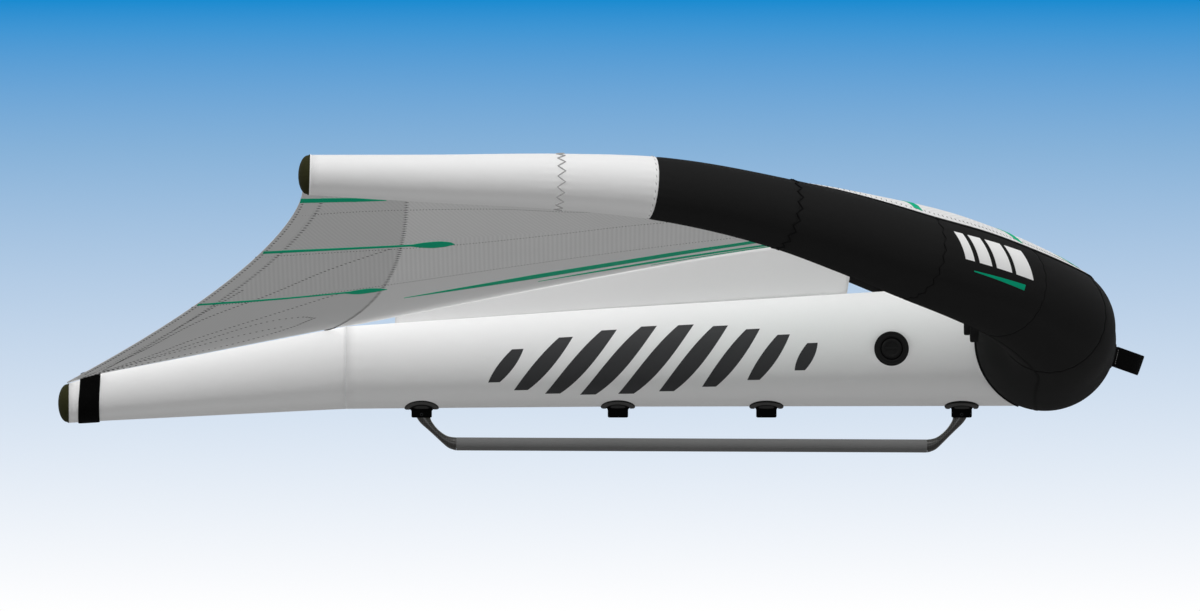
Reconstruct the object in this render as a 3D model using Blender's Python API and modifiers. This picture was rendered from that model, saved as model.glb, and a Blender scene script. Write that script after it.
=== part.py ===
"""Inflatable wingfoil wing: a C-shaped leading-edge tube, a centre strut, a cloth canopy and a boom.

Metres. +X points forward to the nose, +Y to port, +Z up. The origin is the middle of the boom's grip.
"""

import math

import bmesh
import bpy
import numpy as np
from mathutils import Matrix, Vector
from mathutils.geometry import intersect_point_line

for old in list(bpy.data.objects):
    bpy.data.objects.remove(old, do_unlink=True)

# Leading-edge tube: its axis at the nose and at the tip, and its radius there
HALF_SPAN = 1.400
NOSE_X = 0.692
NOSE_Z = 0.204
NOSE_R = 0.1375
TIP_X = -0.733
TIP_Z = 0.522
TIP_R = 0.038
SLEEVE_WALL = 0.0016
FILM = 0.0010

# Strut: rings from the tail to the front, axis height and radius at each
TAIL_X = -1.2188
TAIL_Z = 0.0819
TAIL_R = 0.038
BAND_X = -1.1544
BAND_Z = 0.0936
BAND_R = 0.0458
KINK_X = -0.6767
KINK_Z = 0.1514
KINK_R = 0.0803
MID_X = -0.1794
MID_Z = 0.1706
MID_R = 0.0956
FRONT_X = 0.3081
FRONT_Z = 0.1862
FRONT_R = 0.1102
STRUT_REACH = 0.330

# Canopy
CLOTH = 0.0012
HEM_CLOTH = 0.0020
HEM_WIDTH = 0.038
HEM_MOST_share = 0.35
SEWN_CLEARANCE = 0.0018
TE_TAIL_X = -1.223
TE_TAIL_Z = 0.1245
TE_TIP_X = -0.747
TE_TIP_Z = 0.4890
PATCH_LINE_X = -0.716
PATCH_LINE_RUN = 0.168
CANOPY_CROWN = 0.0220
CENTRE_CROWN = 0.0030
CROWN_FULL_CHORD = 0.600

# Web between strut and canopy
WEB_AFT_X = -0.5805
WEB_FRONT_LOW_X = 0.308
WEB_FRONT_LEAN = 0.022
WEB_CLOTH = 0.0012

# Caps, tail band
CAP_DEPTH = 0.0210
CAP_WALL = 0.0025
BAND_WIDTH = 0.0420
BAND_THICK = 0.0020
BAND_INSET = 0.0180
BAND_WRAP = math.radians(150.0)

# Mounts under the strut: the outer two stand where the boom's arms end, the inner two are spare
MOUNT_MID_REAR_X = -0.1443
MOUNT_MID_FRONT_X = 0.1463
PAD_LENGTH = 0.0673
PAD_SPREAD = 0.1080
PAD_THICK = 0.0038
BOSS_LENGTH = 0.0480
BOSS_SPREAD = 0.0700
BOSS_THICK = 0.0060
BLOCK_LENGTH = 0.0400
BLOCK_FLARE = 0.0050
BLOCK_WIDTH = 0.0340
BLOCK_BOTTOM_Z = 0.0536
BLOCK_ROUND = 0.0030
SOCKET_R = 0.0093
SOCKET_DEPTH = 0.0125
BOLT_R = 0.0020
BOLT_HEAD_R = 0.0036
BOLT_HEAD = 0.0022
BOLT_LIFT = 0.0060

# Boom
GRIP_LENGTH = 0.922
GRIP_R = 0.0121
GRIP_TILT = 0.0021
BOOM_R = 0.0096
BOOM_WALL = 0.0015
SPIGOT = 0.040
ARM_RUN = 0.0675
ARM_NECK_R = 0.0066
ARM_HALF_WIDTH = 0.0115

# Inflation valves
VALVE_R = 0.0330
VALVE_RISE = 0.0180
VALVE_EDGE = 0.0020
INSERT_R = 0.0222
INSERT_DEPTH = 0.0130
INSERT_LIP = 0.0020
SEAT_R = 0.0100
THROAT_R = 0.0180
INSERT_BORE_R = 0.0150
POPPET_R = 0.0125
POPPET_THICK = 0.0018
POPPET_TRAVEL = 0.0050
STEM_R = 0.0028
STEM_REACH = 0.0085
CAP_R = 0.0195
CAP_RISE = 0.0117
CAP_SKIN = 0.0022
CAP_DISH_R = 0.0135
CAP_DISH = 0.0030
CAP_BAR = 0.0050
PLUG_DEPTH = 0.0035
STRUT_VALVE_X = 0.390
LE_VALVE_Y = -0.200
LE_VALVE_Z = 0.235

# Nose handle
HANDLE_TILT = math.radians(19.5)
HANDLE_PLACE = math.radians(13.0)
HANDLE_WIDTH = 0.0400
HANDLE_REACH = 0.0530
HANDLE_HALF = 0.1000
HANDLE_FOOT = 0.0320
WEBBING = 0.0024
PATCH_MARGIN = 0.0050
PATCH_THICK = 0.0016

# Fits
GAP = 0.0003
SEAM_GAP = 0.0003
PANEL_GAP = 0.0007
OVERRUN = 0.0300

# Stations of the leading-edge axis, nose to tip, as shares: of the half span, of the sweep from
# nose to tip, of the rise, and of the taper from the nose radius to the tip radius
LE_STATION_shares = (
    (0.0000, 0.0000, 0.0000, 0.0000),
    (0.2500, 0.0000, 0.0380, 0.0800),
    (0.4821, 0.0000, 0.1434, 0.2940),
    (0.6430, 0.0662, 0.3170, 0.4370),
    (0.7193, 0.1185, 0.4120, 0.4720),
    (0.7930, 0.1880, 0.5145, 0.5330),
    (0.8560, 0.2727, 0.6430, 0.6130),
    (0.9070, 0.3652, 0.7660, 0.7000),
    (0.9714, 0.5363, 0.9190, 0.7780),
    (0.9930, 0.6663, 0.9590, 0.8470),
    (0.9970, 0.8305, 0.9770, 0.9216),
    (1.0000, 1.0000, 1.0000, 1.0000),
)
# Rings are put between the stations, closer where the tube bends
STEPS_BETWEEN_STATIONS = (1, 2, 3, 1, 1, 1, 2, 3, 2, 1, 2)
# Where the canopy is sewn to the tube at each station: degrees from the top, towards outboard
SEWN_ANGLES = (30, 30, 30, 27, 25, 22, 12, -20, -65, -105, -125, -145)
# Stations where sleeve segments meet, and where canopy panels meet
sleeve_parts = ("shoulder", "quarter", "bend", "outer", "tip")
sleeve_stations = (2, 3, 5, 7, 8)
panel_stations = (2, 4, 7)

# Columns of the cloth: the front ones lie closer together towards the tube
COLUMN_POWER = 1.8
FRONT_COLUMN_shares = tuple(1 - (1 - np.linspace(0, 1, 13)) ** COLUMN_POWER)
AFT_COLUMN_shares = tuple(np.linspace(0, 1, 5))
HEM_COLUMN_shares = (0.0, 1.0)

# The nose handle's half loop, from its flat foot to the middle: reach, and the way across from the foot
HANDLE_LOOP_shares = ((0.00, 1.00), (0.35, 0.86), (0.72, 0.62), (0.93, 0.33), (1.00, 0.00))

# Sides of the tubes: a curve's bevel has four more than twice its resolution, and the bladders have half
SLEEVE_BEVEL = 8
SIDES = 2 * SLEEVE_BEVEL + 4
BLADDER_BEVEL = 3
ROUND = 20
ARM_SIDES = 16
WELD = GAP / 10
SHARP = math.radians(35)

# The outer mounts are an arm's run beyond the grip's ends
mount_front_x = GRIP_LENGTH / 2 + ARM_RUN
mount_rear_x = -mount_front_x

model = bpy.data.collections.new("wingfoil_wing")
cutters = bpy.data.collections.new("cutters")
bpy.context.scene.collection.children.link(model)
bpy.context.scene.collection.children.link(cutters)


def material(name, colour, roughness, metallic=0.0):
    """A plain Principled material."""
    made = bpy.data.materials.new(name)
    made.use_nodes = True
    shader = made.node_tree.nodes["Principled BSDF"]
    shader.inputs["Base Color"].default_value = (*colour, 1.0)
    shader.inputs["Roughness"].default_value = roughness
    shader.inputs["Metallic"].default_value = metallic
    return made


BLACK_SAILCLOTH = material("black_sailcloth", (0.012, 0.012, 0.012), 0.75)
WHITE_SAILCLOTH = material("white_sailcloth", (0.80, 0.80, 0.80), 0.70)
GREY_RIPSTOP = material("grey_ripstop", (0.70, 0.70, 0.70), 0.62)
EDGE_SAILCLOTH = material("edge_sailcloth", (0.58, 0.58, 0.58), 0.65)
WEB_CLOTH_PALE = material("web_cloth", (0.90, 0.90, 0.90), 0.75)
BLADDER_FILM = material("bladder_film", (0.55, 0.60, 0.62), 0.30)
OLIVE_CAP = material("olive_cap", (0.030, 0.031, 0.015), 0.70)
BLACK_WEBBING = material("black_webbing", (0.008, 0.008, 0.008), 0.85)
BLACK_RUBBER = material("black_rubber", (0.015, 0.015, 0.015), 0.45)
BLACK_PLASTIC = material("black_plastic", (0.012, 0.012, 0.012), 0.40)
GREY_FOAM = material("grey_foam", (0.12, 0.12, 0.12), 0.80)
CARBON = material("carbon", (0.035, 0.033, 0.030), 0.25)
STEEL = material("steel", (0.30, 0.30, 0.30), 0.35, 1.0)


def finish(name, mesh, look, collection=model):
    """An object for a finished mesh, smooth over its round faces."""
    made = bpy.data.objects.new(name, mesh)
    collection.objects.link(made)
    mesh.materials.clear()
    mesh.materials.append(look)
    mesh.shade_smooth()
    mesh.set_sharp_from_angle(angle=SHARP)
    return made


def as_cutter(made):
    """Mark an object as a cutter: it shapes others and isn't a piece."""
    made.hide_render = True
    made.display_type = "WIRE"
    return made


def boolean(target, tool, operation="DIFFERENCE"):
    """Cut, join or intersect a piece with another mesh object."""
    step = target.modifiers.new(tool.name, "BOOLEAN")
    step.operation = operation
    step.solver = "EXACT"
    step.object = tool
    return target


def bake_mesh(made):
    """The mesh of an object with its modifiers applied, in world space."""
    bpy.context.view_layer.update()
    graph = bpy.context.evaluated_depsgraph_get()
    mesh = bpy.data.meshes.new_from_object(made.evaluated_get(graph))
    mesh.transform(made.matrix_world)
    return mesh


def drop(made):
    """Remove a helper object."""
    bpy.data.objects.remove(made, do_unlink=True)


def tube_mesh(points, radii, resolution, capped):
    """A round tube through points, as a poly curve with a radius at each point."""
    curve = bpy.data.curves.new("tube", "CURVE")
    curve.dimensions = "3D"
    curve.twist_mode = "Z_UP"
    curve.bevel_depth = NOSE_R
    curve.bevel_resolution = resolution
    curve.use_fill_caps = capped
    spline = curve.splines.new("POLY")
    spline.points.add(len(points) - 1)
    for slot, point, radius in zip(spline.points, points, radii):
        slot.co = (*point, 1.0)
        slot.radius = radius / NOSE_R
    made = bpy.data.objects.new("tube", curve)
    cutters.objects.link(made)
    mesh = bake_mesh(made)
    drop(made)
    form = bmesh.new()
    form.from_mesh(mesh)
    bmesh.ops.remove_doubles(form, verts=form.verts, dist=WELD)
    form.to_mesh(mesh)
    form.free()
    return mesh


def keep_rings(mesh, first, last):
    """Keep the part of an open tube between two of its rings."""
    form = bmesh.new()
    form.from_mesh(mesh)
    outside = [vert for vert in form.verts if not first <= vert.index // SIDES <= last]
    bmesh.ops.delete(form, geom=outside, context="VERTS")
    form.to_mesh(mesh)
    form.free()
    return mesh


def solidify(made, thickness, offset):
    """Give an open surface a wall."""
    wall = made.modifiers.new("wall", "SOLIDIFY")
    wall.thickness = thickness
    wall.offset = offset
    wall.use_even_offset = True
    return made


def grid_mesh(name, rows):
    """A sheet through a grid of points, rows by columns."""
    count, across = rows.shape[:2]
    index = np.arange(count * across).reshape(count, across)
    quads = np.stack([index[:-1, :-1], index[1:, :-1], index[1:, 1:], index[:-1, 1:]], axis=-1)
    mesh = bpy.data.meshes.new(name)
    mesh.from_pydata(rows.reshape(-1, 3).tolist(), [], quads.reshape(-1, 4).tolist())
    mesh.update()
    return mesh


def loft_mesh(name, sections):
    """A closed skin over sections of equal point counts, with both ends capped."""
    form = bmesh.new()
    rings = [[form.verts.new(point) for point in section] for section in sections]
    around = len(rings[0])
    for first, second in zip(rings[:-1], rings[1:]):
        for i in range(around):
            j = (i + 1) % around
            form.faces.new((first[i], first[j], second[j], second[i]))
    form.faces.new(list(reversed(rings[0])))
    form.faces.new(rings[-1])
    bmesh.ops.recalc_face_normals(form, faces=form.faces)
    mesh = bpy.data.meshes.new(name)
    form.to_mesh(mesh)
    form.free()
    return mesh


def turned(name, profile, look, place, collection=model, segments=ROUND):
    """A turned piece: (radius, height) points from the top of the outer side down, and round."""
    mesh = bpy.data.meshes.new(name)
    corners = [(radius, 0.0, height) for radius, height in profile]
    loop = [(i, i + 1) for i in range(len(corners) - 1)]
    if profile[0][0] > 0.0 and profile[-1][0] > 0.0:
        loop.append((len(corners) - 1, 0))
    mesh.from_pydata(corners, loop, [])
    made = bpy.data.objects.new(name, mesh)
    cutters.objects.link(made)
    spin = made.modifiers.new("spin", "SCREW")
    spin.axis = "Z"
    spin.steps = segments
    spin.render_steps = segments
    spin.use_merge_vertices = True
    spin.merge_threshold = WELD
    spin.use_normal_calculate = True
    solid = bake_mesh(made)
    drop(made)
    form = bmesh.new()
    form.from_mesh(solid)
    bmesh.ops.remove_doubles(form, verts=form.verts, dist=WELD)
    bmesh.ops.recalc_face_normals(form, faces=form.faces)
    form.to_mesh(solid)
    form.free()
    solid_piece = finish(name, solid, look, collection)
    solid_piece.matrix_world = place
    return solid_piece


def cylinder(name, radius, start, end):
    """A cutter cylinder between two points."""
    start, end = Vector(start), Vector(end)
    form = bmesh.new()
    bmesh.ops.create_cone(form, cap_ends=True, segments=ROUND, radius1=radius, radius2=radius,
                          depth=(end - start).length)
    turn = (end - start).to_track_quat("Z", "Y").to_matrix().to_4x4()
    form.transform(Matrix.Translation((start + end) / 2) @ turn)
    mesh = bpy.data.meshes.new(name)
    form.to_mesh(mesh)
    form.free()
    return as_cutter(finish(name, mesh, BLACK_PLASTIC, cutters))


def smooth_path(stations, steps):
    """A cubic curve through stations, whose slope at each comes from its two neighbours."""
    mirrored = stations[1] * np.array([1, -1, 1, 1])
    chain = np.vstack([mirrored, stations, 2 * stations[-1] - stations[-2]])
    lengths = np.linalg.norm(np.diff(chain[:, :3], axis=0), axis=1)[:, None]
    slopes = np.diff(chain, axis=0) / lengths
    tangents = (slopes[:-1] * lengths[1:] + slopes[1:] * lengths[:-1]) / (lengths[:-1] + lengths[1:])
    path = [stations[:1]]
    for i, count in enumerate(steps):
        t = np.linspace(0, 1, count + 1)[1:, None]
        span = lengths[i + 1]
        path.append((2 * t**3 - 3 * t**2 + 1) * stations[i] + (t**3 - 2 * t**2 + t) * span * tangents[i]
                    + (3 * t**2 - 2 * t**3) * stations[i + 1] + (t**3 - t**2) * span * tangents[i + 1])
    return np.vstack(path)


# Leading-edge rings on the port side: x, y, z and radius, from the centre plane to the tip
shares = np.array(LE_STATION_shares)
stations = np.column_stack([
    NOSE_X + shares[:, 1] * (TIP_X - NOSE_X),
    shares[:, 0] * HALF_SPAN,
    NOSE_Z + shares[:, 2] * (TIP_Z - NOSE_Z),
    NOSE_R + shares[:, 3] * (TIP_R - NOSE_R),
])
port_rings = smooth_path(stations, STEPS_BETWEEN_STATIONS)
ring_of_station = np.concatenate([[0], np.cumsum(STEPS_BETWEEN_STATIONS)])
mirror_y = np.array([1, -1, 1, 1])
le_rings = np.vstack([(port_rings * mirror_y)[:0:-1], port_rings])
sewn_angles = np.radians(np.interp(np.arange(len(port_rings)), ring_of_station, SEWN_ANGLES))


def unit(vectors):
    """Vectors of length one."""
    return vectors / np.linalg.norm(vectors, axis=-1, keepdims=True)


def ring_directions(rings):
    """The direction of the tube at each ring: the mean of the two runs that meet there."""
    runs = unit(np.diff(rings[:, :3], axis=0))
    inner = unit(runs[:-1] + runs[1:])
    return np.vstack([runs[:1], inner, runs[-1:]])


def le_form(inset, capped, end_inset=0.0, bevel=SLEEVE_BEVEL):
    """The leading-edge tube from tip to tip, its radius smaller by inset."""
    rings = le_rings.copy()
    runs = ring_directions(rings)
    rings[0, :3] += runs[0] * end_inset
    rings[-1, :3] -= runs[-1] * end_inset
    return tube_mesh(rings[:, :3], rings[:, 3] - inset, bevel, capped)


def le_cutter(name, inset, bevel=SLEEVE_BEVEL):
    """The leading-edge tube as a closed cutter."""
    return as_cutter(finish(name, le_form(inset, True, bevel=bevel), BLACK_SAILCLOTH, cutters))


def le_axis_at(y):
    """The x, z and radius of the leading-edge tube at a distance from the centre plane."""
    return [float(np.interp(abs(y), port_rings[:, 1], port_rings[:, i])) for i in (0, 2, 3)]


le_directions = ring_directions(le_rings)
CENTRE_RING = len(port_rings) - 1


def sleeve(name, tube, first, last, look):
    """A sewn sleeve segment between two rings of a tube, short of its neighbours by half a seam gap.

    The tube is the directions of its rings and a function that makes it, open, for an inset of its radius.
    The inner wall is the same tube, thinner by the cloth, so that both walls end in the plane of the seam.
    """
    form = bmesh.new()
    directions, open_form = tube
    for inset in (0.0, SLEEVE_WALL):
        mesh = keep_rings(open_form(inset), first, last)
        if inset:
            mesh.flip_normals()
        form.from_mesh(mesh)
    form.verts.ensure_lookup_table()
    wall = len(form.verts) // 2
    for ring, start, shift in ((first, 0, 1), (last, wall - SIDES, -1)):
        outer = form.verts[start:start + SIDES]
        inner = form.verts[wall + start:wall + start + SIDES]
        for i in range(SIDES):
            form.faces.new((outer[i], outer[i - 1], inner[i - 1], inner[i]))
            for corner in (outer[i], inner[i]):
                corner.co += Vector(directions[ring]) * shift * SEAM_GAP / 2
    bmesh.ops.recalc_face_normals(form, faces=form.faces)
    mesh = bpy.data.meshes.new(name)
    form.to_mesh(mesh)
    form.free()
    return finish(name, mesh, look)


def sided_ring(station, side):
    """The index of a station's ring, on the port (1) or starboard (-1) side."""
    return CENTRE_RING + side * int(ring_of_station[station])


def leading_edge():
    """Sleeve segments from tip to tip, with the bladder inside and a cap on each tip."""
    tube = (le_directions, lambda inset: le_form(inset, False))
    seams = [*sleeve_stations, len(shares) - 1]
    nose = sleeve("le_sleeve_nose", tube, sided_ring(seams[0], -1), sided_ring(seams[0], 1), BLACK_SAILCLOTH)
    for side, side_name in ((1, "port"), (-1, "starboard")):
        for part, inner, outer in zip(sleeve_parts, seams[:-1], seams[1:]):
            first, last = sorted((sided_ring(inner, side), sided_ring(outer, side)))
            look = WHITE_SAILCLOTH if part == "tip" else BLACK_SAILCLOTH
            sleeve(f"le_sleeve_{part}_{side_name}", tube, first, last, look)
        end = Vector(port_rings[-1, :3] * np.array([1, side, 1]))
        out = Vector(ring_directions(port_rings)[-1] * np.array([1, side, 1]))
        end_cap(f"tip_cap_{side_name}", end + out * GAP, out, TIP_R)
    inset = SLEEVE_WALL + GAP
    bladder = finish("le_bladder", le_form(inset, True, 0.0, BLADDER_BEVEL), BLADDER_FILM)
    air = finish("le_air", le_form(inset + FILM, True, FILM, BLADDER_BEVEL), BLADDER_FILM, cutters)
    boolean(bladder, as_cutter(air))
    return nose, bladder


def end_cap(name, end, out, radius):
    """A shallow domed cap that closes a tube's end: a quarter ellipse turned about the tube's axis."""
    outer = [(radius * math.cos(a), CAP_DEPTH * math.sin(a)) for a in np.linspace(0, math.pi / 2, 5)]
    inner = [((radius - CAP_WALL) * math.cos(a), (CAP_DEPTH - CAP_WALL) * math.sin(a))
             for a in np.linspace(0, math.pi / 2, 3)]
    profile = outer[::-1] + inner
    place = Matrix.Translation(end) @ out.to_track_quat("Z", "Y").to_matrix().to_4x4()
    return turned(name, profile, OLIVE_CAP, place)


# Strut rings: x, y, z and radius, tail to front; the last run is carried into the leading edge
strut_rings = np.array([
    (TAIL_X, 0.0, TAIL_Z, TAIL_R),
    (BAND_X, 0.0, BAND_Z, BAND_R),
    (KINK_X, 0.0, KINK_Z, KINK_R),
    (MID_X, 0.0, MID_Z, MID_R),
    (FRONT_X, 0.0, FRONT_Z, FRONT_R),
])
front_run = (strut_rings[-1] - strut_rings[-2]) / (FRONT_X - MID_X)
strut_rings = np.vstack([strut_rings, strut_rings[-1] + front_run * STRUT_REACH])


def strut_at(x):
    """The axis height and radius of the strut at x."""
    return [float(np.interp(x, strut_rings[:, 0], strut_rings[:, i])) for i in (2, 3)]


strut_runs = ring_directions(strut_rings)
strut_tops = strut_rings[:, :3] + strut_rings[:, 3:] * np.column_stack(
    [-strut_runs[:, 2], np.zeros(len(strut_runs)), strut_runs[:, 0]])


def strut_top(x):
    """The height of the strut's top line at x."""
    return float(np.interp(x, strut_tops[:, 0], strut_tops[:, 2]))


def along_strut(x):
    """The strut's ring at x, carried on in line past both ends."""
    share = (x - strut_rings[:-1, 0]) / np.diff(strut_rings[:, 0])
    run = int(np.clip(np.searchsorted(strut_rings[:, 0], x) - 1, 0, len(share) - 1))
    return strut_rings[run] + (strut_rings[run + 1] - strut_rings[run]) * share[run]


def strut_form(inset, start, end, capped=True, bevel=SLEEVE_BEVEL):
    """The strut between two places along X, its radius smaller by inset."""
    inside = strut_rings[(strut_rings[:, 0] > start) & (strut_rings[:, 0] < end)]
    rings = np.vstack([[along_strut(start)], inside, [along_strut(end)]])
    return tube_mesh(rings[:, :3], rings[:, 3] - inset, bevel, capped)


def strut(le_outside, le_skin):
    """Two sleeves that meet at the kink, the bladder inside, the tail cap and the tail band."""
    front_end = strut_rings[-1, 0]
    tube = (strut_runs, lambda inset: strut_form(inset, TAIL_X, front_end, False))
    kink = int(np.argmin(abs(strut_rings[:, 0] - KINK_X)))
    sleeve("strut_sleeve_tail", tube, 0, kink, WHITE_SAILCLOTH)
    front = sleeve("strut_sleeve_front", tube, kink, len(strut_rings) - 1, WHITE_SAILCLOTH)
    boolean(front, le_outside)
    inset = SLEEVE_WALL + GAP
    bladder = strut_form(inset, TAIL_X, front_end, bevel=BLADDER_BEVEL)
    bladder = boolean(finish("strut_bladder", bladder, BLADDER_FILM), le_outside)
    air = strut_form(inset + FILM, TAIL_X + FILM, front_end + OVERRUN, bevel=BLADDER_BEVEL)
    air = finish("strut_air", air, BLADDER_FILM, cutters)
    boolean(as_cutter(air), le_skin)
    boolean(bladder, air)
    aft = -Vector(strut_runs[0])
    end_cap("tail_cap", Vector((TAIL_X, 0.0, TAIL_Z)) + aft * GAP, aft, TAIL_R)
    return front, bladder


def tail_band():
    """A webbing band round the strut's tail, whose two ends stop short of the canopy on top."""
    run = strut_runs[0]
    up = np.array([-run[2], 0.0, run[0]])
    ends = [along_strut(TAIL_X + BAND_INSET), along_strut(TAIL_X + BAND_INSET + BAND_WIDTH)]
    rows = []
    for angle in np.linspace(-BAND_WRAP, BAND_WRAP, ROUND + 1):
        away = np.array([0.0, math.sin(angle), 0.0]) - up * math.cos(angle)
        rows.append([ring[:3] + (ring[3] + 2 * GAP) * away for ring in ends])
    band = finish("tail_band", grid_mesh("tail_band", np.array(rows)), BLACK_WEBBING)
    return solidify(band, BAND_THICK, 1.0)


# Canopy: the line where it is sewn to the leading edge, one point for each ring
def sewn_line(clearance):
    """Points on the tube at the sewn angle, off its surface by the clearance."""
    along = ring_directions(np.vstack([port_rings[1] * mirror_y, port_rings]))[1:]
    up = unit(np.array([0, 0, 1]) - along * along[:, 2:3])
    outboard = np.cross(along, up)
    radius = (port_rings[:, 3] + clearance)[:, None]
    angle = sewn_angles[:, None]
    return port_rings[:, :3] + radius * (np.cos(angle) * up + np.sin(angle) * outboard)


sewn = sewn_line(SEWN_CLEARANCE)
sewn[0, 1] = 0.0
CANOPY_HALF = float(sewn[-1, 1])
RISE_POWER = 1.263
SWEEP_POWER = 1.5
AFT_SLOPE_share = 0.200
TIP_SLOPE_share = 0.020
NOSE_POWER = 8.0
CROWN_START_share = 0.5
CROWN_POWER = 4
OUTWARD_POWER = 3.2


def trailing_edge(y):
    """The trailing edge's x and z: it rises with y to a power, and sweeps forward quickest at the tail."""
    rise = (y / CANOPY_HALF) ** RISE_POWER
    x = TE_TAIL_X + (TE_TIP_X - TE_TAIL_X) * (1 - (1 - rise) ** SWEEP_POWER)
    return x, TE_TAIL_Z + (TE_TIP_Z - TE_TAIL_Z) * rise, rise


def canopy_point(ring, share):
    """A point of the canopy on the fore-and-aft line of a ring, share 0 at the trailing edge.

    The line leaves the trailing edge straight, and bends down to the tube as share to a power. A crown
    behind the tube is added, which is nought until half way.
    """
    nose_x, y, nose_z = sewn[ring]
    x0, z0, rise = trailing_edge(y)
    chord = nose_x - x0
    slope = AFT_SLOPE_share + (TIP_SLOPE_share - AFT_SLOPE_share) * rise
    bend = nose_z - z0 - slope * chord
    late = max(0.0, (share - CROWN_START_share) / (1 - CROWN_START_share))
    peak = CROWN_POWER / (CROWN_POWER + 1)
    crown_shape = late**CROWN_POWER * (1 - late) / (peak**CROWN_POWER * (1 - peak))
    across = y / CANOPY_HALF
    crown = CENTRE_CROWN + CANOPY_CROWN * math.sin(math.pi * across**OUTWARD_POWER)
    crown *= crown_shape * min(1.0, chord / CROWN_FULL_CHORD)
    z = z0 + slope * chord * share + bend * share**NOSE_POWER + crown
    return Vector((x0 + chord * share, y, z))


def clear_of_strut(point, clearance):
    """The point, lifted off the strut if it is nearer than the clearance."""
    nearest = None
    for first, second in zip(strut_rings[:-1], strut_rings[1:]):
        foot, share = intersect_point_line(point, first[:3], second[:3])
        share = min(max(share, 0.0), 1.0)
        foot = Vector(first[:3]).lerp(Vector(second[:3]), share)
        away = point - foot
        off = away.length - (first[3] + (second[3] - first[3]) * share)
        if nearest is None or off < nearest[0]:
            nearest = (off, away)
    off, away = nearest
    if off < clearance and point.x > TAIL_X:
        point = point + away.normalized() * (clearance - off)
    return point


def patch_line_share(ring):
    """Where the reinforcement ends on a ring's line, as a share of the line."""
    nose_x, y, _ = sewn[ring]
    x0 = trailing_edge(y)[0]
    line_x = PATCH_LINE_X + PATCH_LINE_RUN * (1 - (1 - y / CANOPY_HALF) ** 2)
    return (line_x - x0) / (nose_x - x0)


def hem_share(ring):
    """How far the hem tape reaches on a ring's line, as a share of it; over the strut, to the band ring."""
    chord = sewn[ring][0] - trailing_edge(sewn[ring][1])[0]
    width = HEM_WIDTH if ring else BAND_X - TE_TAIL_X
    return min(width / chord, HEM_MOST_share)


def panel(name, side, first, last, start, end, spacing, thickness, look):
    """A cloth panel over rings first to last, between two shares of each line."""
    rows = []
    for ring in range(first, last + 1):
        chord = sewn[ring][0] - trailing_edge(sewn[ring][1])[0]
        low = start(ring) + (PANEL_GAP / 2 / chord if start(ring) > 0 else 0.0)
        high = end(ring) - (PANEL_GAP / 2 / chord if end(ring) < 1 else 0.0)
        clearance = thickness / 2 + 2 * GAP
        row = [clear_of_strut(canopy_point(ring, low + (high - low) * s), clearance) for s in spacing]
        shift = PANEL_GAP / 2 if ring == first else (-PANEL_GAP / 2 if ring == last else 0.0)
        rows.append([(p.x, side * (p.y + shift), p.z) for p in row])
    return solidify(finish(name, grid_mesh(name, np.array(rows)), look), thickness, 0.0)


def canopy():
    """Front and aft panels on each side, and a hem tape along each half of the trailing edge."""
    tip_ring = len(port_rings) - 1
    edges = [0, *(int(ring_of_station[station]) for station in panel_stations), tip_ring]
    for side, side_name in ((1, "port"), (-1, "starboard")):
        for part, first, last in zip(("inner", "mid", "outer"), edges[:3], edges[1:4]):
            panel(f"canopy_{part}_{side_name}", side, first, last, patch_line_share, lambda ring: 1.0,
                  FRONT_COLUMN_shares, CLOTH, GREY_RIPSTOP)
            panel(f"canopy_aft_{part}_{side_name}", side, first, last, hem_share, patch_line_share,
                  AFT_COLUMN_shares, CLOTH, EDGE_SAILCLOTH)
        panel(f"canopy_tip_{side_name}", side, edges[3], edges[4], hem_share, lambda ring: 1.0,
              FRONT_COLUMN_shares, CLOTH, GREY_RIPSTOP)
        panel(f"hem_tape_{side_name}", side, 0, tip_ring, lambda ring: 0.0, hem_share,
              HEM_COLUMN_shares, HEM_CLOTH, EDGE_SAILCLOTH)


def strut_web():
    """A flat cloth web in the centre plane, from the strut's top up to the canopy."""
    start = patch_line_share(0)
    canopy_line = np.array([canopy_point(0, start + (1 - start) * share) for share in FRONT_COLUMN_shares])
    front_x = WEB_FRONT_LOW_X + WEB_FRONT_LEAN
    columns = canopy_line[:, 0]
    between = columns[(columns > WEB_AFT_X) & (columns < front_x)]
    upper = np.concatenate([[front_x], between[::-1], [WEB_AFT_X]])
    drop_below = CLOTH / 2 + 2 * GAP
    outline = [(x, strut_top(x) + GAP) for x in (WEB_AFT_X, MID_X, WEB_FRONT_LOW_X)]
    outline += [(x, float(np.interp(x, columns, canopy_line[:, 2])) - drop_below) for x in upper]
    curve = bpy.data.curves.new("strut_web", "CURVE")
    curve.dimensions = "2D"
    curve.fill_mode = "BOTH"
    curve.extrude = WEB_CLOTH / 2
    spline = curve.splines.new("POLY")
    spline.points.add(len(outline) - 1)
    for slot, (x, z) in zip(spline.points, outline):
        slot.co = (x, z, 0.0, 1.0)
    spline.use_cyclic_u = True
    flat = bpy.data.objects.new("strut_web", curve)
    cutters.objects.link(flat)
    mesh = bake_mesh(flat)
    drop(flat)
    form = bmesh.new()
    form.from_mesh(mesh)
    bmesh.ops.remove_doubles(form, verts=form.verts, dist=WELD)
    form.transform(Matrix.Rotation(math.pi / 2, 4, "X"))
    bmesh.ops.recalc_face_normals(form, faces=form.faces)
    form.to_mesh(mesh)
    form.free()
    return finish("strut_web", mesh, WEB_CLOTH_PALE)


def ellipse_column(name, x, length, spread, low, high):
    """An upright elliptic cutter."""
    form = bmesh.new()
    bmesh.ops.create_cone(form, cap_ends=True, segments=ROUND, radius1=0.5, radius2=0.5, depth=1.0)
    form.transform(Matrix.Translation((x, 0.0, (low + high) / 2))
                   @ Matrix.Diagonal((length, spread, high - low, 1.0)))
    mesh = bpy.data.meshes.new(name)
    form.to_mesh(mesh)
    form.free()
    return as_cutter(finish(name, mesh, BLACK_RUBBER, cutters))


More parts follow.
